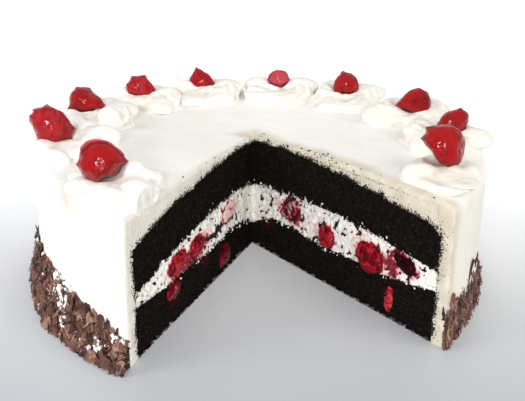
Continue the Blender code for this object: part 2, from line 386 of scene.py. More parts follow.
def tear_face(bm, relief, share=lambda point: 1.0):
    """Moves the vertices on the cut inwards by relief(point), and drags a share of them
    with the layer lines."""
    moves = []
    for vert in bm.verts:
        sides = on_faces(vert.co, ON_CUT)
        if not sides:
            continue
        move = knife_drag(vert.co) * share(vert.co)
        for side in sides:
            move += FACES[side][1] * relief(vert.co)
        moves.append((vert, move))
    make_moves(moves)


def line_points(bm):
    """Points of the layer lines that a layer shows on the cut."""
    return [vert.co.copy() for vert in bm.verts
            if vert.co.z > 4 * MM and on_faces(vert.co, ON_CUT)
            and not all(on_faces(corner.co, ON_CUT) for face in vert.link_faces for corner in face.verts)]


def tree_over(points):
    """A search tree over points."""
    tree = KDTree(len(points))
    for i, point in enumerate(points):
        tree.insert(point, i)
    tree.balance()
    return tree


def mark_specks(bm, lines, base, share, reach):
    """How much of each spot is specked with what lies beyond the layer lines."""
    tree = tree_over(lines)
    layer = bm.verts.layers.float.new("specks")
    for vert in bm.verts:
        if near_cut(vert.co) < 3 * MM:
            uneven = 1 + 0.7 * lumpy(vert.co, 5, 4, 4, 1)
            vert[layer] = (base + share * math.exp(-tree.find(vert.co)[2] / reach)) * uneven


def crumb_relief(point):
    """Depth of the torn crumb: chunks, crumbs and pores."""
    chunk = lumpy(point, 7)
    crumb = lumpy(point, 2.1, 11, 5, 3)
    grain = lumpy(point, 1.0, 2, 17, 9)
    pore = lumpy(point, 2.9, 31, 8, 4)
    depth = 0.75 + 0.35 * chunk + 0.6 * crumb + 0.6 * grain + 1.4 * max(0.0, pore - 0.25)
    ragged = 0.4 + crumb + 1.3 * lumpy(point, 3.4, 6, 6, 2)
    foot = RAGGED_FOOT * (1 - smoothed(point.z / (3 * MM))) * max(0.0, ragged)
    return CRUMB_DEPTH * max(0.0, depth) + foot


def mark_soaked(bm):
    """Strength of the cherry syrup in the sponge, as a vertex attribute."""
    layer = bm.verts.layers.float.new("soaked")
    spots = [(face_spot(side, s * MM, z * MM), reach * MM) for side, s, z, reach in SOAKED_PATCHES]
    for vert in bm.verts:
        strongest = 0.0
        for spot, reach in spots:
            wander = 1 + 0.5 * lumpy(vert.co, 3)
            strongest = max(strongest, 1 - (vert.co - spot).length / (reach * wander))
        vert[layer] = smoothed(strongest)


def add_sum(tree, operation, first, second):
    """The result of a sum on two values."""
    made = add_node(tree, "ShaderNodeMath", {"operation": operation})
    tree.links.new(first, made.inputs[0])
    if isinstance(second, bpy.types.NodeSocket):
        tree.links.new(second, made.inputs[1])
    else:
        made.inputs[1].default_value = second
    return made.outputs["Value"]


def add_mix(tree, factor, colour, other, blend="MIX"):
    """The colour, with another one over it as far as the factor says."""
    mix = add_node(tree, "ShaderNodeMix", {"data_type": "RGBA", "blend_type": blend}, Factor=factor)
    tree.links.new(colour, mix.inputs[6])
    mix.inputs[7].default_value = (*other, 1.0)
    return mix.outputs[2]


def add_grain(tree, scale, **looks):
    """Grain that is fixed to the piece: finer with a higher scale."""
    place = add_node(tree, "ShaderNodeTexCoord").outputs["Object"]
    return add_node(tree, "ShaderNodeTexNoise", Vector=place, Scale=scale, **looks).outputs["Fac"]


def marked(tree, name):
    """What a piece's vertices are marked with."""
    return add_node(tree, "ShaderNodeAttribute", {"attribute_name": name}).outputs["Fac"]


def add_specks(tree, colour, specks, fineness):
    """Colour with specks over it, more of them where the attribute is higher."""
    grain = add_grain(tree, fineness, Detail=2.0, Roughness=0.6)
    amount = add_sum(tree, "ADD", marked(tree, "specks"), grain)
    mask = add_node(tree, "ShaderNodeMapRange", Value=amount, From_Min=0.71, From_Max=0.76)
    return add_mix(tree, mask.outputs["Result"], colour, specks)


def finish(tree, shader, colour, height, strength, depth, **looks):
    """Gives a shader its colour, its relief in mm and its looks."""
    bump = add_node(tree, "ShaderNodeBump", Strength=strength, Distance=depth * MM, Height=height)
    feed(tree, shader, Base_Color=colour, Normal=bump.outputs["Normal"], **looks)


def sponge_material():
    """Nearly black crumb, matt and open, reddish where the syrup is, lighter brown where its grain stands
    up: partly its own colour, partly painted highlight and shade.
    """
    material, tree, shader = new_material("chocolate_sponge")
    crumb = add_grain(tree, 720.0, Detail=4.0, Roughness=0.7)
    # partly painted highlight and shade: the colour follows the bump, lighter brown where the grain
    # stands up and near black where it dips
    crumb_colour_and_painted_light = add_ramp(tree, crumb, (
        (0.38, (0.0020, 0.0014, 0.0012)), (0.53, (0.0060, 0.0039, 0.0030)),
        (0.62, (0.017, 0.0105, 0.0075)), (0.74, (0.036, 0.022, 0.016))))
    soaked = add_sum(tree, "MULTIPLY", marked(tree, "soaked"), add_grain(tree, 330.0, Detail=4.0))
    red = add_mix(tree, soaked, crumb_colour_and_painted_light, (0.075, 0.005, 0.013))
    colour = add_specks(tree, red, (0.60, 0.54, 0.50), 1300.0)
    finish(tree, shader, colour, crumb, 0.6, 0.6, Roughness=1.0, Specular_IOR_Level=0.1)
    return material


def cut_length(middle):
    """Longest edge wanted in a layer: fine on the cut, coarse where the coat hides it."""
    behind = near_cut(middle)
    return CRUMB_EDGE if behind < ON_CUT else max(1.6 * CRUMB_EDGE, min(HIDDEN_EDGE, 1.5 * behind))


def layer_node(name):
    """A layer's shape, a little grown, and with faces small enough to be torn."""
    bm = rounded_node(name, 1)
    close_gap(bm)
    refine(bm, lambda middle: COARSER[name] * cut_length(middle))
    bm.normal_update()
    return bm


def make_sponge(name, material):
    """One sponge with its torn crumb. Returns the points of its layer lines."""
    bm = layer_node(name)
    lines = line_points(bm)
    mark_specks(bm, lines, SPONGE_FLECKS, SPONGE_LINE_FLECKS, FLECK_REACH)
    tear_face(bm, crumb_relief)
    mark_soaked(bm)
    piece = link_piece(name + "_crumb", bm, material)
    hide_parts(name)
    return lines


crumb_finish = sponge_material()
lower_lines = make_sponge("sponge_bottom", crumb_finish)
upper_lines = make_sponge("sponge_top", crumb_finish)


# ---------------------------------------------------------------------------
# Filling. Whipped cream spread between the sponges, torn and smeared upwards
# by the knife, full of crumbs, and stained where it touches the cherries.
# ---------------------------------------------------------------------------
CREAM_DEPTH = 1.35 * MM       # depth of the torn cream
CREAM_CRUMBS = 0.035          # share of crumbs anywhere in the cream,
CREAM_LINE_CRUMBS = 0.10      # and how much more next to the sponges,
HOLE_CRUMBS = 0.4             # and in torn holes
GAP_CRUMBS = 0.6
CRUMB_REACH = 1.6 * MM        # how far those by the sponges reach
STAIN_REACH = 1.6 * MM        # how far juice runs from a cherry
# beige tint of the whipped cream: partly a real knife smear on the coat's cut edges, partly painted shade
CREAM_SHADE_AND_SMEAR_TINT = (0.66, 0.61, 0.50)
STAINED_PATCHES = (           # face, distance, height, reach along and up in mm, strength
    ("left", 85.0, 23.5, 22.0, 7.5, 0.86),
    ("left", 66.0, 26.0, 9.0, 5.0, 0.72),
    ("left", 33.0, 31.0, 9.0, 6.0, 0.45),
    ("right", 33.0, 29.0, 12.0, 4.5, 0.75),
    ("right", 62.0, 26.0, 9.0, 8.0, 0.45),
    ("right", 96.0, 27.0, 13.0, 10.0, 0.45),
    ("right", 119.0, 32.5, 9.0, 5.0, 1.25),
    ("right", 111.0, 27.0, 5.0, 6.0, 1.0),
)
GAPS = (                      # face, distance, height, reach along and up in mm
    ("left", 56.0, 26.5, 11.0, 1.6), ("left", 47.0, 28.0, 5.0, 2.6),
)
FILLING_CHERRIES = sorted(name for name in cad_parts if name.startswith("filling_cherry"))


def node_ellipsoid(name):
    """Middle and half sizes of a node."""
    low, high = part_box(name)
    return (low + high) / 2, (high - low) / 2


def counted_in(away, half):
    """A distance counted in half sizes."""
    return Vector((away.x / half.x, away.y / half.y, away.z / half.z))


def torn_hole(point):
    """How far a spot lies in a hole that the knife tore in the cream. The holes come in groups."""
    group = lumpy(point, 11, 4, 1, 9)
    return lumpy(point, 2.7, 13, 2, 6) - 0.27 + 0.25 * group


def filling_relief(point):
    """Depth of the torn cream: lumps, crumbs, upward strokes and holes."""
    lump = lumpy(point, 4.6, 3, 9, 1)
    crumb = lumpy(point, 1.9, 8, 1, 5)
    stroke = lumpy(Vector((point.x, point.y, 0.5 * point.z)), 1.1)
    depth = 0.55 + 0.8 * lump + 0.6 * crumb + 0.5 * stroke + 2.6 * max(0.0, torn_hole(point))
    return CREAM_DEPTH * max(0.0, depth)


def mark_holes(bm):
    """The torn holes are full of crumbs, and in the gaps only sponge is left."""
    layer = bm.verts.layers.float.get("specks")
    for vert in bm.verts:
        if on_faces(vert.co, ON_CUT):
            vert[layer] += HOLE_CRUMBS * smoothed(torn_hole(vert.co) / 0.12 - 0.3)
            ragged = 0.5 * lumpy(vert.co, 1.8)
            for side, s, z, long, high in GAPS:
                away = vert.co - face_spot(side, s * MM, z * MM)
                along = away.dot(FACES[side][0])
                far = math.hypot(along / (long * MM), (away.z / MM - 0.12 * along / MM) / high)
                if abs(away.dot(FACES[side][1])) < 3 * MM:
                    vert[layer] += GAP_CRUMBS * smoothed((1.15 - far + ragged) / 0.4)


def mark_stains(bm):
    """Strength of the cherry juice in the cream, as a vertex attribute."""
    layer = bm.verts.layers.float.new("juice")
    cherries = [node_ellipsoid(name) for name in FILLING_CHERRIES]
    for vert in bm.verts:
        strongest = 0.0
        wander = 1 + 0.9 * lumpy(vert.co, 2.0)
        for middle, half in cherries:
            outside = (counted_in(vert.co - middle, half).length - 1) * min(half)
            strongest = max(strongest, 1 - outside / (STAIN_REACH * wander))
        for side, s, z, long, high, strength in STAINED_PATCHES:
            away = vert.co - face_spot(side, s * MM, z * MM)
            along = away.dot(FACES[side][0]) / (long * MM)
            up = (away.z + 0.25 * away.dot(FACES[side][0])) / (high * MM)
            across = away.dot(FACES[side][1]) / (8 * MM)
            far = math.sqrt(along * along + up * up + across * across)
            strongest = max(strongest, strength * smoothed(1.5 * wander - far * wander))
        vert[layer] = min(1.3, max(0.0, strongest))


def cream_shader(name, light, shade, juice=False):
    """Whipped cream: matt, faintly see-through, with fine bubbles, and tinted beige where marked so:
    partly a real smear, partly painted shade.
    """
    material, tree, shader = new_material(name)
    colour = add_ramp(tree, add_grain(tree, 60.0, Detail=3.0), ((0.35, shade), (0.62, light)))
    if juice:
        blotch = add_grain(tree, 380.0, Detail=4.0, Roughness=0.7)
        uneven = add_sum(tree, "ADD", marked(tree, "juice"), blotch)
        spread = add_node(tree, "ShaderNodeMapRange", Value=uneven, From_Max=2.0)
        wash = add_ramp(tree, spread.outputs["Result"], (
            (0.27, (1.0, 1.0, 1.0)), (0.40, (0.98, 0.84, 0.85)), (0.52, (0.86, 0.46, 0.50)),
            (0.60, (0.50, 0.06, 0.09)), (0.74, (0.20, 0.010, 0.020)), (0.86, (0.03, 0.003, 0.006))))
        tint = add_node(tree, "ShaderNodeMix", {"data_type": "RGBA", "blend_type": "MULTIPLY"},
                        Factor=1.0)
        tree.links.new(colour, tint.inputs[6])
        tree.links.new(wash, tint.inputs[7])
        colour = tint.outputs[2]
    else:
        # painted shade, and on the cut edges partly a real smear, tints the cream beige where marked
        colour = add_mix(tree, marked(tree, "smear_and_painted_shade"), colour, CREAM_SHADE_AND_SMEAR_TINT, "MULTIPLY")
    colour = add_specks(tree, colour, (0.012, 0.007, 0.005), 1250.0)
    bubbles = add_grain(tree, 900.0, Detail=3.0)
    finish(tree, shader, colour, bubbles, 0.3, 0.2, Roughness=0.5, Specular_IOR_Level=0.3,
           Subsurface_Weight=0.2, Subsurface_Radius=(1.0, 0.85, 0.65), Subsurface_Scale=2 * MM)
    return material


def make_filling():
    """The torn and stained cream. Returns the points of its layer lines."""
    bm = layer_node("filling_cream")
    lines = line_points(bm)
    mark_specks(bm, lines, CREAM_CRUMBS, CREAM_LINE_CRUMBS, CRUMB_REACH)
    mark_holes(bm)
    mark_stains(bm)
    tear_face(bm, filling_relief)
    material = cream_shader("filling_cream", (0.93, 0.90, 0.855), (0.87, 0.825, 0.765), juice=True)
    piece = link_piece("filling_cream_smeared", bm, material)
    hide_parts("filling_cream")
    return lines


filling_lines = make_filling()


# ---------------------------------------------------------------------------
# Cherries of the filling. Stewed, soft and dark, some cut through by the
# knife, so that their paler flesh shows, and smeared with cream.
# ---------------------------------------------------------------------------
PROUD_SHARE = 0.45            # of how far a cherry stands out, what the knife left of it
WRINKLE = 0.6 * MM            # height of the folds in the fruit, and of its dents
DENT = 1.3 * MM
SPREAD = 1.09                 # cherries fill their pockets and lie on the cream's edge
FRUIT = {                     # cherry: paler (+) or darker (-), and share smeared with cream
    1: (0.00, 0.06), 2: (-0.07, 0.13), 3: (-0.04, 0.12), 4: (0.12, 0.40), 5: (-0.12, 0.0),
    6: (-0.07, 0.22), 7: (0.01, 0.12), 8: (-0.03, 0.05), 9: (-0.30, 0.0), 10: (0.09, 0.04),
}


def stewed_material():
    """Soft dark red flesh, paler where the tone is higher, with streaks of cream."""
    material, tree, shader = new_material("stewed_cherry")
    flesh = add_grain(tree, 230.0, Detail=4.0, Roughness=0.6, Distortion=1.2)
    colour = add_ramp(tree, add_sum(tree, "ADD", flesh, marked(tree, "tone")), (
        (0.26, (0.014, 0.002, 0.004)), (0.42, (0.13, 0.003, 0.010)), (0.52, (0.36, 0.008, 0.018)),
        (0.64, (0.46, 0.035, 0.045)), (0.80, (0.62, 0.17, 0.16))))
    uneven = add_grain(tree, 300.0, Detail=3.0, Roughness=0.7)
    streaks = add_sum(tree, "ADD", marked(tree, "smear"), uneven)
    cover = add_node(tree, "ShaderNodeMapRange", Value=streaks, From_Min=0.74, From_Max=0.98)
    smeared = add_mix(tree, cover.outputs["Result"], colour, (0.84, 0.62, 0.60))
    finish(tree, shader, smeared, flesh, 0.6, 0.5, Roughness=0.22, Specular_IOR_Level=0.03,
           Subsurface_Weight=0.12, Subsurface_Radius=(1.0, 0.15, 0.15), Subsurface_Scale=1.5 * MM)
    return material


def make_filling_cherries():
    """The stewed cherries, wrinkled, dented and flush with the cut."""
    material = stewed_material()
    for name in FILLING_CHERRIES:
        tone, smear = FRUIT[int(name[-2:])]
        bm = rounded_node(name, 3)
        bm.normal_update()
        middle = node_ellipsoid(name)[0]
        side = "left" if middle.x < CUT_CORNER.x else "right"
        inward = FACES[side][1]
        moves = []
        for vert in bm.verts:
            fold = lumpy(vert.co, 3.4) + 0.6 * lumpy(vert.co, 1.5)
            dent = lumpy(vert.co, 7, 1, 8, 2)
            away = vert.co - middle
            moves.append(vert.normal * (WRINKLE * fold + DENT * dent)
                         + (away - inward * away.dot(inward)) * (SPREAD - 1))
        for layer_name, value in (("tone", tone), ("smear", smear)):
            layer = bm.verts.layers.float.new(layer_name)
            for vert in bm.verts:
                rim = 0.12 * ((vert.co - middle).length / (6 * MM)) if layer_name == "smear" else 0.0
                vert[layer] = value + rim * value
        for vert, move in zip(bm.verts, moves):
            vert.co += move
            depth = (vert.co - CUT_CORNER).dot(inward)
            if depth < 0:
                vert.co -= inward * depth * (1 - PROUD_SHARE)
            vert.co.z = max(vert.co.z, solid_low.z)
        piece = link_piece(name.replace("filling_", "stewed_"), bm, material)
        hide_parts(name)


make_filling_cherries()


# ---------------------------------------------------------------------------
# Coat. Whipped cream spread over the top and down the side with a palette
# knife, which left it softly uneven. At the cut its edge shows.
# ---------------------------------------------------------------------------
COAT_EDGE = 3.9 * MM          # length of edges on the coat, and on its cut edge
COAT_CUT_EDGE = 0.84 * MM
COAT_WAVE = 0.45 * MM         # height of the broad waves in it, and of the strokes
COAT_STROKE = 0.16 * MM
COAT_CRUMBS = 0.02            # share of crumbs on the coat's cut edge, and more by the sponge
COAT_LINE_CRUMBS = 0.36
COAT_CRUMB_REACH = 2.2 * MM   # how far those reach from the sponge
COAT_DEPTH = 0.5 * MM         # depth of the smeared edge
COAT_DRAG_FROM = 0.8 * MM     # from the outer edge inwards, the knife drags more and more
COAT_DRAG_OVER = 2.8 * MM
EDGE_ROUND = 2.6 * MM         # how far the knife rounded the coat's edge
# how beige each cut strip is tinted, and how far in: partly a real knife smear, partly painted shade
SHADE_AND_SMEAR_ON_CUT = {"left": 0.42, "right": 0.95}
SHADE_AND_SMEAR_REACH = {"left": 3.5 * MM, "right": 11 * MM}
PAINTED_SHADE_PATCHES = (             # painted shade in hollows and on the right side: middle and reach in mm, and strength
    ((-82.0, -84.0, 67.0), 13.0, 0.90),
    ((-62.0, -78.0, 69.0), 9.0, 0.45),
    ((-70.0, 22.0, 69.0), 10.0, 0.30),
    ((104.0, -84.0, 36.0), 62.0, 0.34),
)


def coat_relief(point):
    """Depth of the coat's cut edge, which the knife smeared nearly smooth."""
    lump = lumpy(point, 7, 5, 12, 8)
    stroke = lumpy(Vector((point.x, point.y, 0.4 * point.z)), 3.2)
    grain = lumpy(point, 1.5, 3, 2, 8)
    return COAT_DEPTH * max(0.0, 0.4 + 0.7 * lump + 0.2 * stroke + 0.16 * grain)


def coat_wave(point, normal):
    """How far the palette knife left the coat above or below its even surface."""
    wave = lumpy(point, 26, 2, 4, 6)
    wave += 0.5 * lumpy(point, 11, 9, 1, 3)
    around = math.atan2(point.y, point.x)
    if normal.z > 0.6:
        stroke = noise.noise(Vector((point.xy.length / (5 * MM), 3 * around, 0.0)))
    else:
        stroke = noise.noise(Vector((14 * around, point.z / (16 * MM), 4.0)))
    return (COAT_WAVE * wave + COAT_STROKE * stroke) * smoothed(near_cut(point) / (6 * MM))


def outer_edge(bm):
    """Points of the coat's outer edge on the cut, with the way the coat faces there."""
    found = []
    for vert in bm.verts:
        if on_faces(vert.co, ON_CUT):
            beside = [face for face in vert.link_faces if not on_faces(face.calc_center_median(), ON_CUT)]
            facing = sum((face.normal for face in beside), Vector())
            outwards = facing.dot(vert.co * Vector((1, 1, 0)))
            if facing.z > 0.3 or outwards > 0.3 * vert.co.length * facing.length:
                found.append((vert.co.copy(), facing.normalized()))
    return found


def edge_rounding(bm, edge, tree):
    """Moves that round the coat's edge on the cut, as (vertex, move)."""
    moves = []
    for vert in bm.verts:
        behind, side = nearest_cut(vert.co)
        _, index, away = tree.find(vert.co)
        if away > EDGE_ROUND:
            continue
        inward, facing = FACES[side][1], edge[index][1]
        if on_faces(vert.co, ON_CUT):
            turned = math.pi / 4 * (1 - away / EDGE_ROUND)
            sunk, drop = EDGE_ROUND * (1 - math.cos(turned)), EDGE_ROUND * (1 - math.sin(turned)) - away
        elif vert.normal.dot(facing) > 0.5:
            turned = math.pi / 4 * (1 + min(1.0, behind / EDGE_ROUND))
            sunk, drop = EDGE_ROUND * (1 - math.cos(turned)) - behind, EDGE_ROUND * (1 - math.sin(turned))
        else:
            continue
        moves.append((vert, inward * sunk - facing * drop))
    return moves


def paint_shade_and_smear(bm):
    """Where the coat is tinted beige: on the cut edges partly a real knife smear and partly painted
    shade, stronger on the right face, and painted shade in a few hollows and on the right side.
    """
    layer = bm.verts.layers.float.new("smear_and_painted_shade")
    for vert in bm.verts:
        away = vert.co - CUT_CORNER
        uneven = 0.95 + 0.3 * lumpy(vert.co, 7) + 0.12 * lumpy(vert.co, 1.8)
        amount = 0.0
        for side, (along, inward) in FACES.items():
            behind = max(abs(away.dot(inward)), -away.dot(along))
            reach = SHADE_AND_SMEAR_REACH[side] * (1 + 0.5 * lumpy(vert.co, 14))
            amount = max(amount, SHADE_AND_SMEAR_ON_CUT[side] * uneven * smoothed(1.0 - behind / reach) ** 0.7)
        for middle, reach, strength in PAINTED_SHADE_PATCHES:
            off = (vert.co - Vector(middle) * MM).length / (reach * MM)
            amount = max(amount, strength * smoothed(1.2 - off) * uneven)
        vert[layer] = min(1.0, max(0.0, amount))


def make_coat(material):
    """The coat, uneven on its sides, with its cut edge rounded and smeared."""
    bm = rounded_node("frosting", 1)
    close_gap(bm)
    refine(bm, lambda middle: max(COAT_CUT_EDGE, min(COAT_EDGE, 0.8 * near_cut(middle))))
    bm.normal_update()
    mark_specks(bm, upper_lines + lower_lines, COAT_CRUMBS, COAT_LINE_CRUMBS, COAT_CRUMB_REACH)
    # painted shade, and a real smear on the cut edges, tint the coat beige
    paint_shade_and_smear(bm)
    edge = outer_edge(bm)
    tree = tree_over([point for point, _ in edge])
    moves = edge_rounding(bm, edge, tree)
    moves += [(vert, vert.normal * coat_wave(vert.co, vert.normal)) for vert in bm.verts
              if not on_faces(vert.co, ON_CUT)]
    tear_face(bm, coat_relief,
              lambda point: smoothed((tree.find(point)[2] - COAT_DRAG_FROM) / COAT_DRAG_OVER))
    make_moves(moves)
    piece = link_piece("coat_spread", bm, material)
    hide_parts("frosting")


coat_finish = cream_shader("whipped_cream", (0.93, 0.915, 0.875), (0.91, 0.89, 0.845))
make_coat(coat_finish)


# ---------------------------------------------------------------------------
# Border. Wide dollops of cream side by side, piped with a star nozzle, each a
# rope wound round and up, and pressed out of shape by the cherry set in it.
# ---------------------------------------------------------------------------
ROPE_POINTS = 30              # corners round the rope, and its lobes
ROPE_LOBES = 6
ROPE_LOBE_DEPTH = 0.22
ROPE_STEP = math.radians(11)
ROPE_TWIST = 1.0              # turns of the star's points on each turn of the rope
ROPE_FLAT = 0.95              # height of a rope over its width
ROPE_RISE = 0.42              # height of the rope's middle as a share of its half width
ROPE_SHARE = 0.36             # half width of the rope as a share of the dollop's radius
DOLLOP_VOXEL = 0.62 * MM      # fineness of a dollop
DOLLOP_SINK = 1.0 * MM        # how far it sinks into the coat
DOLLOPS = {                   # dollop: its width over its solid's; height of its rope, and heading in degrees where it starts; number of lobes; width and height of the mound in its middle; height in front; how far softened; painted shade
                              # degrees where it starts; number of lobes; width and height of the
                              # mound in its middle; height in front; how far softened; how beige
    1: (1.05, 0.72, 150, 6, 0.72, 0.75, 0.50, 14, 0.00),
    2: (1.05, 0.92, 30, 6, 0.72, 0.75, 0.55, 14, 0.00),
    3: (1.05, 1.00, 200, 6, 0.72, 0.75, 0.62, 14, 0.06),
    4: (1.10, 1.00, 300, 5, 0.72, 0.75, 0.66, 20, 0.10),
    5: (1.16, 1.00, 250, 5, 0.72, 0.75, 0.62, 20, 0.12),
    6: (1.24, 0.95, 170, 3, 0.90, 0.62, 0.66, 26, 0.14),
    7: (1.24, 1.00, 240, 3, 0.92, 0.62, 0.50, 30, 0.18),
    8: (1.20, 0.95, 330, 3, 0.92, 0.62, 0.50, 34, 0.24),
    9: (1.10, 0.95, 120, 3, 0.90, 0.62, 0.70, 24, 0.26),
    10: (1.08, 0.70, 300, 3, 0.92, 0.62, 0.42, 46, 0.34),
}
PETAL_OUT = 0.60              # where the middles of a dollop's lobes lie, over its radius,
PETAL_WIDE = (0.32, 0.46)     # and their half widths
SEAT = 0.88                   # how close to a cherry its cream stays, over its half size,
SEAT_REACH = 1.6              # and how far out it is pressed
TRIM_WITHIN = 12 * MM         # how far out cream is trimmed back to the cut, and how far behind it
TRIM_BEHIND = 0.2 * MM
TOWARDS_EYE = Vector((EYE.x, EYE.y, 0.0)).normalized()
CREASE_SHADE = 2.4            # how dark the painted shade in the creases is, the most that it can be,
CREASE_MOST = 0.45
CREASE_SOFT = 9               # and how far that spreads beside them
FLARE = 3.2 * MM              # how far a dollop's foot spreads into the coat
FLARE_UP = 2.6 * MM           # and up to which height
HUNG_LOBES = {                # dollop: lobes that run over the rim, as middle and half sizes in mm
    1: (((-53.0, -97.0, 70.5), (9.0, 11.5, 7.5)), ((-61.5, -105.0, 66.5), (10.5, 10.5, 11.0)),
        ((-67.0, -101.0, 70.0), (8.0, 8.0, 7.5)), ((-57.5, -77.0, 75.5), (6.0, 5.5, 5.5))),
    2: (((-108.5, -33.0, 68.5), (8.5, 11.5, 8.5)), ((-99.0, -49.0, 70.0), (7.5, 8.0, 6.5)),
        ((-101.0, -8.0, 73.0), (7.0, 9.0, 6.5))),
    3: (((-84.0, 16.0, 74.5), (6.5, 6.5, 7.0)), ((-102.0, 8.0, 73.0), (7.0, 6.5, 6.0))),
}
CURLS = {                     # dollop: thin rope trailing on the coat, as points and half width in mm
    1: (((-57.0, -62.0, 71.0), (-48.0, -67.0, 71.2), (-45.5, -77.0, 71.0), (-46.0, -88.0, 70.6)), 3.2),
    10: (((73.5, -68.0, 70.8), (75.5, -76.0, 70.8), (79.5, -83.5, 70.8), (86.5, -87.0, 70.8),
          (93.5, -82.5, 70.6)), 2.8),
    8: (((60.0, 48.0, 70.4), (66.0, 40.0, 70.4), (73.0, 28.0, 70.4)), 2.4),
}


def rope_frame(spot, ahead, thick, turned):
    """Matrix that sets the nozzle's star across the rope."""
    side = ahead.cross(Vector((0, 0, 1))).normalized()
    up = side.cross(ahead)
    turn = Matrix((side, up, ahead)).transposed().to_4x4()
    return (Matrix.Translation(spot) @ Matrix.Diagonal((1.0, 1.0, ROPE_FLAT, 1.0)) @ turn
            @ Matrix.Rotation(turned, 4, "Z") @ Matrix.Diagonal((thick, thick, thick, 1.0)))


def pipe_rope(bm, spots, thicks, start):
    """Pipes a star-shaped rope along spots."""
    ring = bmesh.ops.create_circle(bm, segments=ROPE_POINTS, radius=1.0)["verts"]
    for vert in ring:
        around = math.atan2(vert.co.y, vert.co.x)
        vert.co *= 1 - ROPE_LOBE_DEPTH * abs(math.sin(ROPE_LOBES / 2 * around)) ** 1.6
    edges = list({edge for vert in ring for edge in vert.link_edges})
    bmesh.ops.contextual_create(bm, geom=edges)
    before = Matrix()
    for i, (spot, thick) in enumerate(zip(spots, thicks)):
        ahead = (spots[min(i + 1, len(spots) - 1)] - spots[max(i - 1, 0)]).normalized()
        here = rope_frame(spot, ahead, thick, start + i * ROPE_STEP * ROPE_TWIST)
        if i:
            made = bmesh.ops.extrude_edge_only(bm, edges=edges)["geom"]
            ring = [item for item in made if isinstance(item, bmesh.types.BMVert)]
            edges = [item for item in made if isinstance(item, bmesh.types.BMEdge)]
        bmesh.ops.transform(bm, matrix=here @ before.inverted(), verts=ring)
        before = here
    bmesh.ops.contextual_create(bm, geom=edges)


def wind_up(centre, radius, height, turns, start):
    """Spots and thicknesses of a rope that winds inwards and upwards."""
    spots, thicks = [], []
    steps = int(turns * 2 * math.pi / ROPE_STEP)
    widest = ROPE_SHARE * radius
    for i in range(steps + 1):
        share = i / steps
        thick = widest * (1 - 0.3 * share) * min(1.0, 0.4 + 7 * share) * min(1.0, 0.3 + 6 * (1 - share))
        ring = (radius - widest) * (1 - 0.85 * smoothed(1.2 * share - 0.25))
        around = start + i * ROPE_STEP
        rise = ROPE_RISE * widest + (height - (ROPE_RISE + ROPE_FLAT) * widest) * share
        spots.append(centre + Vector((ring * math.cos(around), ring * math.sin(around), rise)))
        thicks.append(thick)
    return spots, thicks


def trail(points, thick):
    """Spots and thicknesses of a thin rope laid through points."""
    spots, thicks, steps = [], [], 6
    for first, second in zip(points, points[1:]):
        for i in range(steps):
            spots.append(Vector(first).lerp(Vector(second), i / steps) * MM)
    spots.append(Vector(points[-1]) * MM)
    for _ in range(2):
        eased = [(a + 2 * b + c) / 4 for a, b, c in zip(spots, spots[1:], spots[2:])]
        spots = [spots[0]] + eased + [spots[-1]]
    for i in range(len(spots)):
        share = i / (len(spots) - 1)
        thicks.append(thick * MM * (0.35 + 0.65 * math.sin(math.pi * min(0.93, max(0.07, share)))))
    return spots, thicks


def press_seat(bm, cherry):
    """Moves the cream out of the way of a cherry."""
    middle, half = node_ellipsoid(cherry)
    for vert in bm.verts:
        away = vert.co - middle
        length = max(counted_in(away, half).length, 0.05)
        if length < SEAT_REACH:
            pushed = (length ** 10 + SEAT ** 10) ** 0.1
            vert.co = middle + away * pushed / length


def trim_at_cut(bm):
    """The knife went past the dollops too: none of them reaches over the cut."""
    for vert in bm.verts:
        away = vert.co - CUT_CORNER
        for along, inward in FACES.values():
            depth = away.dot(inward)
            if away.dot(along) > 0 and -TRIM_WITHIN < depth < TRIM_BEHIND:
                vert.co += inward * (TRIM_BEHIND - 0.1 * depth - depth)


def add_petals(bm, radius, height, start, lobes, draw):
    """Soft lobes round the cherry."""
    for k in range(lobes):
        around = start + (k + draw.uniform(-0.25, 0.25)) * math.tau / lobes
        out = Vector((math.cos(around), math.sin(around), 0.0))
        wide = draw.uniform(*PETAL_WIDE) * radius
        tall = height * draw.uniform(0.42, 0.52)
        place = (Matrix.Translation(out * PETAL_OUT * radius + Vector((0, 0, 0.9 * tall)))
                 @ Matrix.Rotation(around, 4, "Z") @ Matrix.Diagonal((1.25 * wide, wide, tall, 1.0)))
        bmesh.ops.create_icosphere(bm, subdivisions=3, radius=1.0, matrix=place)


def flare(bm, centre, top):
    """Spreads a dollop's foot on the coat, so that the two run into each other."""
    inwards = Vector((-centre.x, -centre.y, 0.0)).normalized()
    for vert in bm.verts:
        out = (vert.co - centre) * Vector((1, 1, 0))
        low = min(1.0, max(0.0, 1 - (vert.co.z - top) / FLARE_UP))
        if out.length > 1 * MM:
            way = out.normalized()
            vert.co += way * FLARE * low * low * smoothed(0.7 + way.dot(inwards))


def mark_painted_crease_shade(bm, smear_and_painted_shade):
    """Painted shade: the cream is tinted beige down in its creases, over the dollop's own painted shade.
    """
    bm.normal_update()
    depths = []
    for vert in bm.verts:
        near = [edge.other_vert(vert).co for edge in vert.link_edges]
        depths.append(sum((spot - vert.co).dot(vert.normal) for spot in near) / len(near))
    bm.verts.index_update()
    for _ in range(CREASE_SOFT):
        beside = [[depths[edge.other_vert(vert).index] for edge in vert.link_edges] for vert in bm.verts]
        depths = [(depth + sum(others)) / (1 + len(others)) for depth, others in zip(depths, beside)]
    layer = bm.verts.layers.float.new("smear_and_painted_shade")
    for vert in bm.verts:
        crease = min(CREASE_MOST, max(0.0, CREASE_SHADE * depths[vert.index] / (0.1 * MM)))
        vert[layer] = smear_and_painted_shade + crease


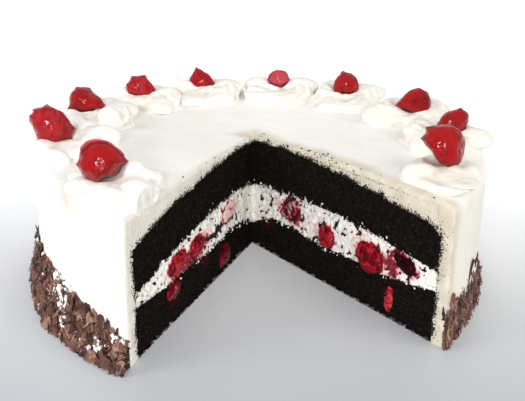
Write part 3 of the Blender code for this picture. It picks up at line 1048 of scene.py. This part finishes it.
def make_dollop(name, material, draw):
    """One dollop: its rope, mound and lobes, melted into one and pressed by its cherry."""
    number = int(name[-2:])
    wider, rope_height, start, lobes, mound_wide, mound_high, front_height, soft, smear_and_painted_shade = DOLLOPS[number]
    low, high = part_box(name)
    centre = Vector(((low.x + high.x) / 2, (low.y + high.y) / 2, low.z - DOLLOP_SINK))
    radius = wider * (high.x - low.x + high.y - low.y) / 4
    height = high.z - low.z + DOLLOP_SINK
    bm = bmesh.new()
    spots, thicks = wind_up(Vector(), radius, height, 1.45, math.radians(start))
    pipe_rope(bm, spots, thicks, draw.uniform(0, 1))
    wide = mound_wide * radius
    mound = Matrix.Diagonal((wide, wide, mound_high * height, 1))
    bmesh.ops.create_icosphere(bm, subdivisions=3, radius=1.0, matrix=mound)
    add_petals(bm, radius, height, math.radians(start), lobes, draw)
    for vert in bm.verts:
        wide = 1 + 0.10 * noise.noise(Vector((vert.co.x, vert.co.y, 0)) / (12 * MM) + centre * 50)
        lower = 1 - (1 - front_height) * smoothed(0.15 + 1.4 * vert.co.dot(TOWARDS_EYE) / radius)
        vert.co = Vector((vert.co.x * wide, vert.co.y * wide, vert.co.z * rope_height * lower))
    bmesh.ops.translate(bm, vec=centre, verts=bm.verts)
    for middle, half in HUNG_LOBES.get(number, ()):
        lobe = Matrix.Translation(Vector(middle) * MM) @ Matrix.Diagonal((*(Vector(half) * MM), 1.0))
        bmesh.ops.create_icosphere(bm, subdivisions=3, radius=1.0, matrix=lobe)
    if number in CURLS:
        pipe_rope(bm, *trail(*CURLS[number]), 0.0)
    bm = evaluated(bm, [("REMESH", {"mode": "VOXEL", "voxel_size": DOLLOP_VOXEL}),
                        ("SMOOTH", {"factor": 0.5, "iterations": soft})])
    flare(bm, centre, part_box("frosting")[1].z)
    press_seat(bm, name.replace("dollop", "cherry"))
    trim_at_cut(bm)
    bm.normal_update()
    moves = [vert.normal * MM * (0.5 * lumpy(vert.co, 6) + 0.2 * lumpy(vert.co, 2.4))
             for vert in bm.verts]
    for vert, move in zip(bm.verts, moves):
        vert.co += move
    bmesh.ops.smooth_vert(bm, verts=bm.verts, factor=0.4,
                          use_axis_x=True, use_axis_y=True, use_axis_z=True)
    # painted shade: the dollop is tinted beige, more in its creases
    mark_painted_crease_shade(bm, smear_and_painted_shade)
    piece = link_piece(name + "_piped", bm, material)
    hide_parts(name)


def make_border(material):
    """The dollops, from the left of the cut round the back to its right."""
    draw = random.Random(12)
    for name in sorted(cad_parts):
        if name.startswith("dollop"):
            make_dollop(name, material, draw)


make_border(coat_finish)


# ---------------------------------------------------------------------------
# Cherries of the border. Preserved in syrup and stoned, so they are bright,
# glossy and squashed, with soft facets, torn corners and folds in the skin.
# ---------------------------------------------------------------------------
DENTS = 4                     # flat spots pressed into each cherry
DENT_POWER = 9                # how sharply they end
CHERRY_DEEP = 0.92            # depth over width, seen from the front
WAVES = ((3.0, 0.030), (6.0, 0.018), (11.0, 0.006))
PLEATS = 6.5                  # folds of the skin across a cherry, and how high they stand
PLEAT_HIGH = 0.024
RIM_AT = 0.86                 # where a torn rim lies, from the middle to the outline
RIM_WIDE = 0.045
RIM_DEEP = 0.07
CHERRY_MEAN = 0.95            # mean reach of an outline
CHERRY_SEEN = {               # cherry: width and height in mm, seen from the front
    1: (23.2, 20.6), 2: (23.0, 21.2), 3: (22.0, 16.6), 4: (18.0, 15.0), 5: (17.6, 15.4),
    6: (15.0, 12.4), 7: (17.2, 17.6), 8: (20.6, 16.0), 9: (18.0, 16.0), 10: (21.0, 21.6),
}
OUTLINES = {                  # cherry: outline seen from the front, as headings in degrees and reaches
    1: ((-165, 0.93), (-133, 0.87), (-111, 1.08), (-78, 0.70), (-32, 0.76), (0, 1.04), (22, 0.87),
        (50, 0.84), (76, 0.93), (99, 1.02), (121, 1.07), (142, 1.07), (165, 0.93), (181, 1.02)),
    2: ((-165, 1.02), (-133, 1.17), (-108, 0.96), (-86, 1.02), (-62, 0.97), (-44, 1.22), (-30, 1.02),
        (-16, 1.06), (2, 0.76), (40, 0.66), (80, 0.80), (101, 1.04), (120, 0.92), (141, 1.06),
        (150, 0.97), (158, 1.06)),
    3: ((-173, 0.84), (-148, 1.20), (-120, 0.98), (-93, 1.02), (-65, 0.74), (-37, 1.18), (-20, 1.06),
        (5, 0.84), (41, 0.74), (74, 0.94), (95, 0.90), (115, 1.04), (140, 0.90)),
    4: ((-170, 0.98), (-147, 1.20), (-120, 0.84), (-90, 0.78), (-53, 1.24), (-30, 0.90), (-11, 1.04),
        (34, 0.74), (74, 1.05), (97, 0.96), (121, 1.09), (145, 0.96), (164, 1.05)),
    5: ((-176, 0.97), (-148, 1.17), (-135, 1.02), (-121, 1.19), (-90, 0.75), (-50, 1.17), (-38, 1.02),
        (-23, 1.10), (5, 0.66), (60, 0.60), (100, 0.84), (116, 1.10), (147, 0.86)),
    6: ((-172, 1.03), (-140, 0.80), (-112, 0.70), (-80, 1.04), (-51, 0.74), (-12, 1.03), (20, 0.94),
        (48, 0.98), (75, 0.93), (101, 1.02), (134, 0.92)),
    7: ((-169, 0.97), (-137, 1.19), (-107, 0.70), (-59, 1.17), (-46, 1.02), (-31, 1.16), (11, 0.84),
        (49, 0.84), (90, 0.84), (104, 0.98), (116, 0.97), (128, 0.83), (147, 0.84)),
    8: ((-166, 1.04), (-122, 0.62), (-84, 0.72), (-46, 1.21), (7, 1.00), (45, 1.08), (73, 1.04),
        (104, 0.90), (155, 0.74)),
    9: ((-150, 1.12), (-95, 0.80), (-50, 1.28), (-6, 1.00), (38, 1.14), (65, 1.10), (101, 0.76),
        (164, 0.66)),
    10: ((-178, 0.80), (-145, 0.56), (-98, 0.76), (-71, 1.08), (-33, 1.04), (-4, 1.00), (26, 1.02),
         (58, 0.97), (90, 1.00), (123, 1.12), (140, 1.24), (154, 0.97), (168, 1.04)),
}
TORN_RIMS = {                 # cherry: where a rim of torn skin runs, as headings and how pale it is
    1: (8, 160, 0.40), 2: (-30, 70, 0.05), 3: (-30, 62, 0.08), 4: (-20, 60, 0.10), 7: (-20, 60, 0.06),
    5: (-30, 20, 0.08),
}
CHERRY_TONE = {2: 0.10, 4: 0.12, 6: 0.42}    # more is paler
BORDER_CHERRIES = sorted(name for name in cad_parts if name.startswith("cherry"))


def cherry_material():
    """Bright red glossy skin, paler or darker by its tone, part of which is painted shade that darkens
    the outline and the folds towards dark purple.
    """
    material, tree, shader = new_material("glazed_cherry")
    red = add_ramp(tree, add_grain(tree, 150.0, Detail=3.0), (
        (0.34, (0.22, 0.002, 0.004)), (0.50, (0.31, 0.002, 0.004)), (0.70, (0.37, 0.0025, 0.004))))
    tone = marked(tree, "tone")
    lighter = add_mix(tree, tone, red, (0.62, 0.12, 0.17))
    # painted shade: where the tone is lowered the skin turns dark purple
    colour = add_mix(tree, add_sum(tree, "MULTIPLY", tone, -1.0), lighter, (0.085, 0.002, 0.012))
    skin = add_grain(tree, 280.0, Detail=1.0, Distortion=1.2)
    finish(tree, shader, colour, skin, 0.42, 0.5, Roughness=0.07, Specular_IOR_Level=0.27,
           Subsurface_Weight=0.04, Subsurface_Radius=(1.0, 0.08, 0.08), Subsurface_Scale=2 * MM)
    return material


def random_direction(draw):
    """A direction of any kind, as likely as any other."""
    height = draw.uniform(-1, 1)
    around = draw.uniform(0, 2 * math.pi)
    flat = math.sqrt(1 - height * height)
    return Vector((flat * math.cos(around), flat * math.sin(around), height))


def outline_reach(outline, degrees):
    """Reach of an outline at a heading: straight sides that end in sharp corners."""
    first = outline[-1][0] - 360, outline[-1][1]
    for second in outline + ((outline[0][0] + 360, outline[0][1]),):
        if degrees <= second[0]:
            share = (degrees - first[0]) / (second[0] - first[0])
            if first[1] > second[1]:
                return second[1] + (first[1] - second[1]) * (1 - share) ** 2
            return first[1] + (second[1] - first[1]) * share ** 2
        first = second
    return outline_reach(outline, degrees - 360)


def skin_spot(unit, number, dents, pole):
    """Where the skin lies, across, up and towards the eye, and how pale it is there, with painted shade
    at the outline and in the folds.
    """
    around = math.degrees(math.atan2(unit.y, unit.x))
    flat = min(1.0, math.hypot(unit.x, unit.y))
    reach = CHERRY_MEAN + (outline_reach(OUTLINES[number], around) - CHERRY_MEAN) * flat ** 1.6
    away = (1 + sum(max(0.0, unit.dot(dent) / 0.86) ** DENT_POWER for dent in dents)) ** (-1 / DENT_POWER)
    away += sum(high * noise.noise(unit * size + Vector((number, 3, 5))) for size, high in WAVES)
    pleat = noise.noise(unit * 1.6 + pole * PLEATS * unit.dot(pole))
    away += PLEAT_HIGH * pleat
    # painted shade: darker towards the outline seen from the eye, and in the hollows of the pleats
    tone = CHERRY_TONE.get(number, 0.0) - 0.34 * flat ** 6 + 0.45 * min(0.0, pleat + 0.05)
    if number in TORN_RIMS and unit.z > -0.2:
        start, end, pale = TORN_RIMS[number]
        here = smoothed((around - start) / 25) * smoothed((end - around) / 25)
        wander = 0.05 * noise.noise(Vector((around / 30, number, 0)))
        across = (flat - RIM_AT - wander) / RIM_WIDE
        away += RIM_DEEP * here * (0.5 * math.exp(-(across - 1.6) ** 2) - math.exp(-across * across))
        # the torn rim is paler, and its groove is darkened with painted shade
        tone += here * ((pale + 0.34) * smoothed(across - 0.4) - 0.4 * math.exp(-across * across))
    return Vector((unit.x * reach, unit.y * reach, unit.z)) * away, tone


def box_round(points):
    """Lowest and highest corner of the box round points."""
    return [Vector([pick(point[i] for point in points) for i in range(3)]) for pick in (min, max)]


def make_cherry(name, material, draw):
    """One squashed cherry, turned to the front, in its dollop's seat."""
    number = int(name[-2:])
    middle = node_ellipsoid(name)[0]
    towards = (EYE - middle).normalized()
    across = Vector((0, 0, 1)).cross(towards).normalized()
    seen = Matrix((across, towards.cross(across), towards)).transposed()
    dents = [random_direction(draw) for _ in range(DENTS)]
    pole = random_direction(draw)
    bm = bmesh.new()
    bmesh.ops.create_icosphere(bm, subdivisions=5, radius=1.0)
    layer = bm.verts.layers.float.new("tone")
    for vert in bm.verts:
        vert.co, vert[layer] = skin_spot(vert.co.normalized(), number, dents, pole)
    lowest, highest = box_round([vert.co for vert in bm.verts])
    wide, tall = (size * MM for size in CHERRY_SEEN[number])
    size = Vector((wide, tall, CHERRY_DEEP * (wide + tall) / 2))
    for vert in bm.verts:
        away = vert.co - (lowest + highest) / 2
        scaled = [away[i] * size[i] / (highest[i] - lowest[i]) for i in range(3)]
        vert.co = middle + seen @ Vector(scaled)
        vert.co.z = min(vert.co.z, solid_high.z)
    piece = link_piece(name.replace("cherry", "glazed_cherry"), bm, material)
    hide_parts(name)


def make_border_cherries():
    """The glossy cherries, one in each dollop."""
    material = cherry_material()
    draw = random.Random(5)
    for name in BORDER_CHERRIES:
        make_cherry(name, material, draw)


make_border_cherries()


# ---------------------------------------------------------------------------
# Shavings. Milk chocolate planed from a block: thin flakes and splinters,
# pressed by hand against the foot of the coat. They thin out towards the top.
# ---------------------------------------------------------------------------
CORE_EDGE = 2.2 * MM          # length of the core's edges
CORE_INSIDE = 2.2 * MM        # how far the core lies inside the heap's solid,
CORE_LOWER = 0.66             # and its height as a share of the heap's
THIN_FROM = 0.50              # share of the heap's height where the cream starts to show
THIN_LEFT = 0.25              # share of the flakes that are left at its top,
BARE_LEFT = 0.25              # and in bare patches
BARE_DEEP = 7 * MM            # where the core lies this much deeper
BARE_AT = (                   # heading in degrees, height, and half width and height in mm
    (220.8, 18.5, 3.4, 2.8), (223.2, 14.0, 2.6, 3.2), (226.0, 8.5, 2.2, 2.8), (218.0, 22.0, 2.2, 2.0),
    (237.0, 4.0, 3.2, 1.8), (233.0, 3.0, 2.4, 1.6), (241.0, 5.0, 2.0, 1.6), (-33.0, 3.5, 1.8, 1.4),
)
DABS = 480                    # dabs of cream that show between them
DAB_SHAPES = 8
DAB_SIZE = 1.5 * MM           # half size of a dab, and its height over its width
DAB_FLAT = 0.45
PRESSED_AT = math.radians(-28)    # heading where they are pressed closest to the coat
PRESSED_WIDE = math.radians(24)
PRESSED = 1.9 * MM            # and how far they are
FACING_UP = 0.38              # how far flakes face upwards, over outwards
CUT_REACH = 12 * MM           # how near the cut shavings are kept back behind it,
OVER_CUT = 1.2 * MM           # how far a flake may still stand out over it,
OVER_MOST = 30 * MM           # and how far out anything can be
CORE_BEHIND = 0.5 * MM        # the core stays this far behind it
FLAKE_THICK = 0.3 * MM
UPRIGHT_WITHIN = (math.radians(-60), math.radians(-5))    # headings where flakes stand upright,
UPRIGHT_LEAN = math.radians(-12)    # lean by this,
UPRIGHT_TILT = 0.25           # and where of those that lie flatter than this
UPRIGHT_MISSING = 0.55        # this share is missing
KINDS = (                     # piece, how many shapes, length and width in mm, count, lift in mm, tilt
    ("shavings_flakes", 26, (2.0, 9.0), (1.6, 5.4), 3500, (-2.0, 0.1), 0.20),
    ("shavings_splinters", 14, (2.4, 7.5), (0.5, 1.5), 2300, (-1.6, 0.4), 0.28),
)
FEW_LARGE = 2.3               # the higher, the fewer shapes are large
WILD_SHARE = 0.07             # flakes that stick out
WILD_TILT = 1.0               # and how far they are tilted
STRAYS = (                    # heading in degrees, height, length in mm, and lean in degrees
    (198.0, 25.5, 11.0, -6.0), (-31.0, 27.0, 8.0, 12.0),
    (-27.0, 24.0, 7.0, -35.0), (-36.0, 27.0, 7.0, -12.0), (-24.0, 21.0, 6.0, 60.0),
    (203.0, 15.0, 6.0, 75.0), (206.0, 9.0, 6.0, 105.0), (199.0, 19.0, 4.0, 60.0),
)


def heap_faces():
    """The faces of the heap's solid that show, as (corners, normal, area)."""
    bm = bmesh.new()
    bm.from_mesh(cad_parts["shavings_band"].data)
    bmesh.ops.remove_doubles(bm, verts=bm.verts, dist=0.02 * MM)
    bmesh.ops.triangulate(bm, faces=bm.faces)
    bm.normal_update()
    found = []
    for face in bm.faces:
        middle = face.calc_center_median()
        outwards = face.normal.dot(Vector((middle.x, middle.y, 0)).normalized())
        along_cut = max(abs(face.normal.dot(inward)) for _, inward in FACES.values()) > 0.9
        at_cut = near_cut(middle) < MM and along_cut
        if face.normal.z > -0.5 and (outwards > 0.05 or face.normal.z > 0.5) and not at_cut:
            found.append(([vert.co.copy() for vert in face.verts], face.normal.copy(), face.calc_area()))
    bm.free()
    return found


def pressed(spot):
    """How far towards the coat the shavings are pressed at a spot."""
    away = (math.atan2(spot.y, spot.x) - PRESSED_AT) / PRESSED_WIDE
    return spot * Vector((1, 1, 0)) * (-PRESSED * math.exp(-away * away) / spot.xy.length)


def bareness(spot):
    """How bare of shavings the cream is at a spot."""
    around = math.atan2(spot.y, spot.x)
    drift = noise.noise(Vector((20 * math.cos(around), 20 * math.sin(around), spot.z / (5 * MM))))
    upright = UPRIGHT_WITHIN[0] < around < UPRIGHT_WITHIN[1]
    low = smoothed((spot.z - 1.5 * MM) / (2 * MM))
    bare = 0.0 if upright else 0.8 * smoothed((drift - 0.27) / 0.10) * low
    ragged = 0.5 * lumpy(spot, 2)
    for degrees, height, wide, tall in BARE_AT:
        turned = (around - math.radians(degrees) + math.pi) % math.tau - math.pi
        away = math.hypot(turned * spot.xy.length / (wide * MM), (spot.z / MM - height) / tall)
        bare = max(bare, smoothed(1.8 - away + ragged))
    return bare


def as_template(bm):
    """A small shape's corner points, and its faces as the numbers of their corners."""
    bm.verts.index_update()
    points = [vert.co.copy() for vert in bm.verts]
    faces = [[vert.index for vert in face.verts] for face in bm.faces]
    bm.free()
    return points, faces


def flake_template(draw, long, wide):
    """One thin curved flake about the origin: its corner points and its faces."""
    bm = bmesh.new()
    bmesh.ops.create_grid(bm, x_segments=3, y_segments=2, size=0.5)
    bend = draw.uniform(-0.7, 1.0)
    for vert in bm.verts:
        x = vert.co.x * long
        y = vert.co.y * wide * (1 - 0.25 * abs(2 * vert.co.x))
        x += draw.uniform(-0.17, 0.17) * long
        y += draw.uniform(-0.22, 0.22) * wide
        lift = bend * x * x / long * 0.5 + draw.uniform(-0.06, 0.06) * wide
        vert.co = Vector((x, y, lift))
    bmesh.ops.solidify(bm, geom=bm.faces[:], thickness=FLAKE_THICK)
    bmesh.ops.recalc_face_normals(bm, faces=bm.faces)
    return as_template(bm)


def lay(templates, places, name, material):
    """Joins one copy of a template at each place into one piece."""
    points, faces, shades = [], [], []
    for matrix, pick, shade in places:
        corners, sides = templates[pick % len(templates)]
        first = len(points)
        moved = [matrix @ corner for corner in corners]
        low, high = box_round(moved)
        nudge = Vector([max(0.0, solid_low[i] - low[i]) - max(0.0, high[i] - solid_high[i])
                        for i in range(3)])
        points += [point + nudge for point in moved]
        faces += [[first + corner for corner in side] for side in sides]
        shades += [shade] * len(corners)
    mesh = bpy.data.meshes.new(name)
    mesh.from_pydata(points, [], faces)
    shade = mesh.attributes.new("shade", "FLOAT", "POINT")
    shade.data.foreach_set("value", shades)
    mesh.materials.append(material)
    piece = bpy.data.objects.new(name, mesh)
    bpy.context.scene.collection.objects.link(piece)
    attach(piece, "root")
    return piece


def surfaces(names):
    """Search trees over finished pieces."""
    graph = bpy.context.evaluated_depsgraph_get()
    return [BVHTree.FromObject(bpy.data.objects[name], graph) for name in names]


def first_hit(trees, start, ahead):
    """The nearest spot that a ray meets, which tree it lies on, and the normal there."""
    best = None
    for index, tree in enumerate(trees):
        spot, normal, _, away = tree.ray_cast(start, ahead)
        if spot is not None and (best is None or away < best[0]):
            best = (away, spot, normal, index)
    return best


def heap_top(faces, spot):
    """Height of the heap's solid straight above or below a spot on it."""
    around = spot.xy.normalized()
    nearest = max(faces, key=lambda face: around.dot(face[0][0].xy.normalized()) + face[0][0].z)
    return nearest[0][0].z


def lay_on(spot, normal, leaning, turn):
    """Matrix of a flake at a spot, turned about the way it faces."""
    facing = (normal + leaning).normalized().to_track_quat("Z", "Y").to_matrix().to_4x4()
    return Matrix.Translation(spot) @ facing @ Matrix.Rotation(turn, 4, "Z")


def past_cut(point):
    """How far a point near the cut stands out over it, and the way back."""
    away = point - CUT_CORNER
    found = [(-away.dot(inward), inward) for along, inward in FACES.values()
             if away.dot(along) > 0 and -away.dot(inward) < OVER_MOST]
    return max(found, default=(-1.0, Vector()), key=lambda out: out[0])


def scatter_on(faces, templates, count, draw, lift, tilt):
    """Places over the heap, fewer near its top, each lying nearly along its surface."""
    areas = [area for _, _, area in faces]
    places = []
    while len(places) < count:
        corners, normal, _ = draw.choices(faces, weights=areas)[0]
        first, second = draw.random(), draw.random()
        if first + second > 1:
            first, second = 1 - first, 1 - second
        spot = corners[0] + (corners[1] - corners[0]) * first + (corners[2] - corners[0]) * second
        share = spot.z / heap_top(faces, spot)
        left = 1 - (1 - THIN_LEFT) * smoothed((share - THIN_FROM) / (1 - THIN_FROM))
        if draw.random() > left * (1 - (1 - BARE_LEFT) * bareness(spot)):
            continue
        wild = WILD_TILT if draw.random() < WILD_SHARE else tilt
        turn = draw.uniform(0, 2 * math.pi)
        if UPRIGHT_WITHIN[0] < math.atan2(spot.y, spot.x) < UPRIGHT_WITHIN[1]:
            if tilt < UPRIGHT_TILT and draw.random() < UPRIGHT_MISSING:
                continue
            turn = math.pi / 2 + UPRIGHT_LEAN + draw.gauss(0, 0.35)
        facing = (spot.xy.to_3d().normalized() + Vector((0, 0, FACING_UP)) + 0.4 * normal).normalized()
        spot += facing * draw.uniform(*lift) * MM + pressed(spot)
        matrix = lay_on(spot, facing, wild * random_direction(draw), turn)
        pick = draw.randrange(1000)
        corners = [matrix @ corner for corner in templates[pick % len(templates)][0][::3]]
        if draw.random() < (1 - BARE_LEFT) * sum(bareness(corner) for corner in corners) / len(corners):
            continue
        if near_cut(spot) < CUT_REACH:
            out, inward = max((past_cut(corner) for corner in corners), key=lambda found: found[0])
            matrix = Matrix.Translation(inward * max(0.0, out - draw.random() * OVER_CUT)) @ matrix
        places.append((matrix, pick, draw.random()))
    return places


def dab_places(faces, draw):
    """Places where cream shows between the shavings."""
    areas = [area for _, _, area in faces]
    places = []
    while len(places) < DABS:
        corners, normal, _ = draw.choices(faces, weights=areas)[0]
        first, second = sorted((draw.random(), draw.random()))
        spot = corners[0] * first + corners[1] * (second - first) + corners[2] * (1 - second)
        if draw.random() > bareness(spot) or near_cut(spot) < 2.5 * MM:
            continue
        facing = (spot.xy.to_3d().normalized() + 0.3 * normal).normalized()
        spot += pressed(spot) - facing * draw.uniform(0.5, 1.3) * MM
        size = Matrix.Scale(draw.uniform(0.4, 1.15), 4)
        matrix = lay_on(spot, facing, Vector(), draw.uniform(0, 6.3)) @ size
        places.append((matrix, draw.randrange(1000), 0.5))
    return places


def stray_places(draw):
    """Long splinters that stand up out of the heap's edge."""
    trees = surfaces(["coat_spread"])
    places = []
    for degrees, height, long, lean in STRAYS:
        outwards = Vector((math.cos(math.radians(degrees)), math.sin(math.radians(degrees)), 0.0))
        hit = first_hit(trees, outwards * 0.2 + Vector((0, 0, height * MM)), -outwards)
        spot = hit[1] + outwards * 0.5 * MM
        turned = lay_on(spot, outwards, 0.15 * random_direction(draw), math.pi / 2 + math.radians(lean))
        places.append((turned @ Matrix.Diagonal((long / 5, 1.4, 1.4, 1.0)), draw.randrange(1000), 0.15))
    return places


def chocolate_material():
    """Milk chocolate, each flake of a shade of its own."""
    material, tree, shader = new_material("chocolate_shavings")
    grain = add_grain(tree, 700.0, Detail=4.0)
    shade = add_sum(tree, "MULTIPLY", add_sum(tree, "ADD", marked(tree, "shade"), grain), 0.5)
    colour = add_ramp(tree, shade, (
        (0.20, (0.022, 0.010, 0.012)), (0.36, (0.065, 0.028, 0.027)), (0.50, (0.130, 0.060, 0.044)),
        (0.66, (0.20, 0.100, 0.068)), (0.82, (0.36, 0.23, 0.17))))
    finish(tree, shader, colour, grain, 0.4, 0.2, Roughness=0.55, Specular_IOR_Level=0.22)
    return material


def make_shavings():
    """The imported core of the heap, the flakes and splinters on it, and the cream between."""
    material = chocolate_material()
    bm = rounded_node("shavings_band", 2)
    refine(bm, lambda middle: CORE_EDGE)
    bm.normal_update()
    moves = []
    for vert in bm.verts:
        chips = 0.8 * lumpy(vert.co, 2.4) + 0.5 * lumpy(vert.co, 1.1)
        outwards = vert.co * Vector((1, 1, 0)) / vert.co.xy.length
        sunk = CORE_INSIDE + BARE_DEEP * bareness(vert.co)
        if vert.normal.dot(outwards) < -0.3:
            sunk = BARE_DEEP
        moves.append(vert.normal * chips * MM - outwards * sunk + pressed(vert.co))
    for vert, move in zip(bm.verts, moves):
        close = near_cut(vert.co) < CUT_REACH
        vert.co += move
        if close:
            out, inward = past_cut(vert.co)
            vert.co += inward * max(0.0, out + CORE_BEHIND)
        vert.co.z = max(vert.co.z * CORE_LOWER, solid_low.z)
    core = link_piece("shavings_heap", bm, material, smooth_angle=20)
    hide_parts("shavings_band")
    draw = random.Random(31)
    faces = heap_faces()
    for name, shapes, long, wide, count, lift, tilt in KINDS:
        templates = []
        for _ in range(shapes):
            large = draw.random() ** FEW_LARGE
            size = [MM * (low + (high - low) * large) for low, high in (long, wide)]
            templates.append(flake_template(draw, *size))
        places = scatter_on(faces, templates, count, draw, lift, tilt)
        if name == "shavings_splinters":
            places += stray_places(draw)
        piece = lay(templates, places, name, material)
    dabs = []
    for _ in range(DAB_SHAPES):
        dab = bmesh.new()
        bmesh.ops.create_icosphere(dab, subdivisions=1, radius=DAB_SIZE)
        for vert in dab.verts:
            vert.co = vert.co * draw.uniform(0.7, 1.25) * Vector((1, 1, DAB_FLAT))
        dabs.append(as_template(dab))
    piece = lay(dabs, dab_places(faces, draw), "shavings_cream", coat_finish)
    piece.data.shade_smooth()


make_shavings()


# ---------------------------------------------------------------------------
# Crumbs and flecks. Small torn bits of sponge that the knife left on the
# cream, and bits of cream that it left on the sponge. They only lie there.
# ---------------------------------------------------------------------------
CRUMB_SIZES = (0.16, 0.80)    # half size in mm
FLECK_SIZES = (0.16, 0.95)
TOP_CRUMBS = (                # face, distance from the corner and spread, depth and spread in mm, count
    ("right", 1.0, 2.5, 4.0, 1.6, 16),
    ("right", 40.0, 22.0, 0.6, 1.2, 45),
    ("right", 60.0, 7.0, 1.5, 2.2, 60),
    ("right", 105.0, 22.0, 0.6, 1.2, 12),
    ("left", 60.0, 40.0, 0.4, 0.6, 8),
    ("right", 124.0, 8.0, 7.0, 6.0, 5),
)
LINE_CRUMBS = 700             # beside the layer lines
LOOSE_CRUMBS = 300            # anywhere on the filling
LINE_FLECKS = 380
FACING = (("sponge_bottom_crumb", "sponge_top_crumb"), ("filling_cream_smeared", "coat_spread"))


def crumb_template(draw):
    """One small torn bit about the origin, about 1 mm in half size."""
    bm = bmesh.new()
    bmesh.ops.create_icosphere(bm, subdivisions=1, radius=MM)
    shape = Vector((draw.uniform(0.8, 1.5), draw.uniform(0.6, 1.0), draw.uniform(0.4, 0.9)))
    for vert in bm.verts:
        vert.co = vert.co * shape * draw.uniform(0.45, 1.35)
    return as_template(bm)


def crumb_size(draw, sizes):
    """Half size in mm: most bits are small."""
    return sizes[0] + (sizes[1] - sizes[0]) * draw.random() ** 2.5


def set_down(hit, size, draw, stretch=1.0):
    """Place of a bit that lies half sunk where a ray met a surface."""
    _, spot, normal, _ = hit
    turn = random_direction(draw).to_track_quat("Z", "Y").to_matrix().to_4x4()
    scale = Matrix.Diagonal((size, size, size * stretch, 1.0))
    matrix = Matrix.Translation(spot + normal * 0.2 * size * MM) @ scale @ turn
    return matrix, draw.randrange(1000), draw.random()


def bits_on_cut(draw, trees, wanted, lines, count, spread, sizes, stretch):
    """Bits beside the layer lines that land on the wanted surfaces."""
    places = []
    for point in draw.choices(lines, k=count):
        side = (on_faces(point, 3 * ON_CUT) or ["right"])[0]
        along, inward = FACES[side]
        start = point + along * draw.gauss(0, MM) + Vector((0, 0, draw.gauss(0, spread)))
        hit = first_hit(trees, start - inward * 8 * MM, inward)
        if hit and hit[3] in wanted and hit[1].z > MM:
            places.append(set_down(hit, crumb_size(draw, sizes), draw, draw.uniform(1.0, stretch)))
    return places


def scatter_crumbs():
    """Crumbs on the cream of the cut and along the top's edge, and flecks of cream on the sponge."""
    draw = random.Random(77)
    sponges, creams = FACING
    trees = surfaces(sponges + creams)
    crumbs = [crumb_template(draw) for _ in range(9)]
    places = bits_on_cut(draw, trees, (2, 3), lower_lines + upper_lines, LINE_CRUMBS, 1.8 * MM,
                         CRUMB_SIZES, 1.0)
    places += bits_on_cut(draw, trees, (2,), filling_lines, LOOSE_CRUMBS, 5 * MM, CRUMB_SIZES, 1.0)
    for side, s, spread, depth, depth_spread, count in TOP_CRUMBS:
        for _ in range(count):
            behind = abs(draw.gauss(depth, depth_spread)) * MM
            start = face_spot(side, abs(draw.gauss(s, spread)) * MM, 0.1, behind)
            hit = first_hit(trees[3:], start, Vector((0, 0, -1)))
            if hit:
                places.append(set_down(hit, crumb_size(draw, CRUMB_SIZES) * 0.8, draw))
    piece = lay(crumbs, places, "sponge_crumbs", crumb_finish)
    flecks = bits_on_cut(draw, trees, (0, 1), filling_lines, LINE_FLECKS, 1.3 * MM, FLECK_SIZES, 2.4)
    piece = lay(crumbs, flecks, "cream_flecks", coat_finish)


scatter_crumbs()
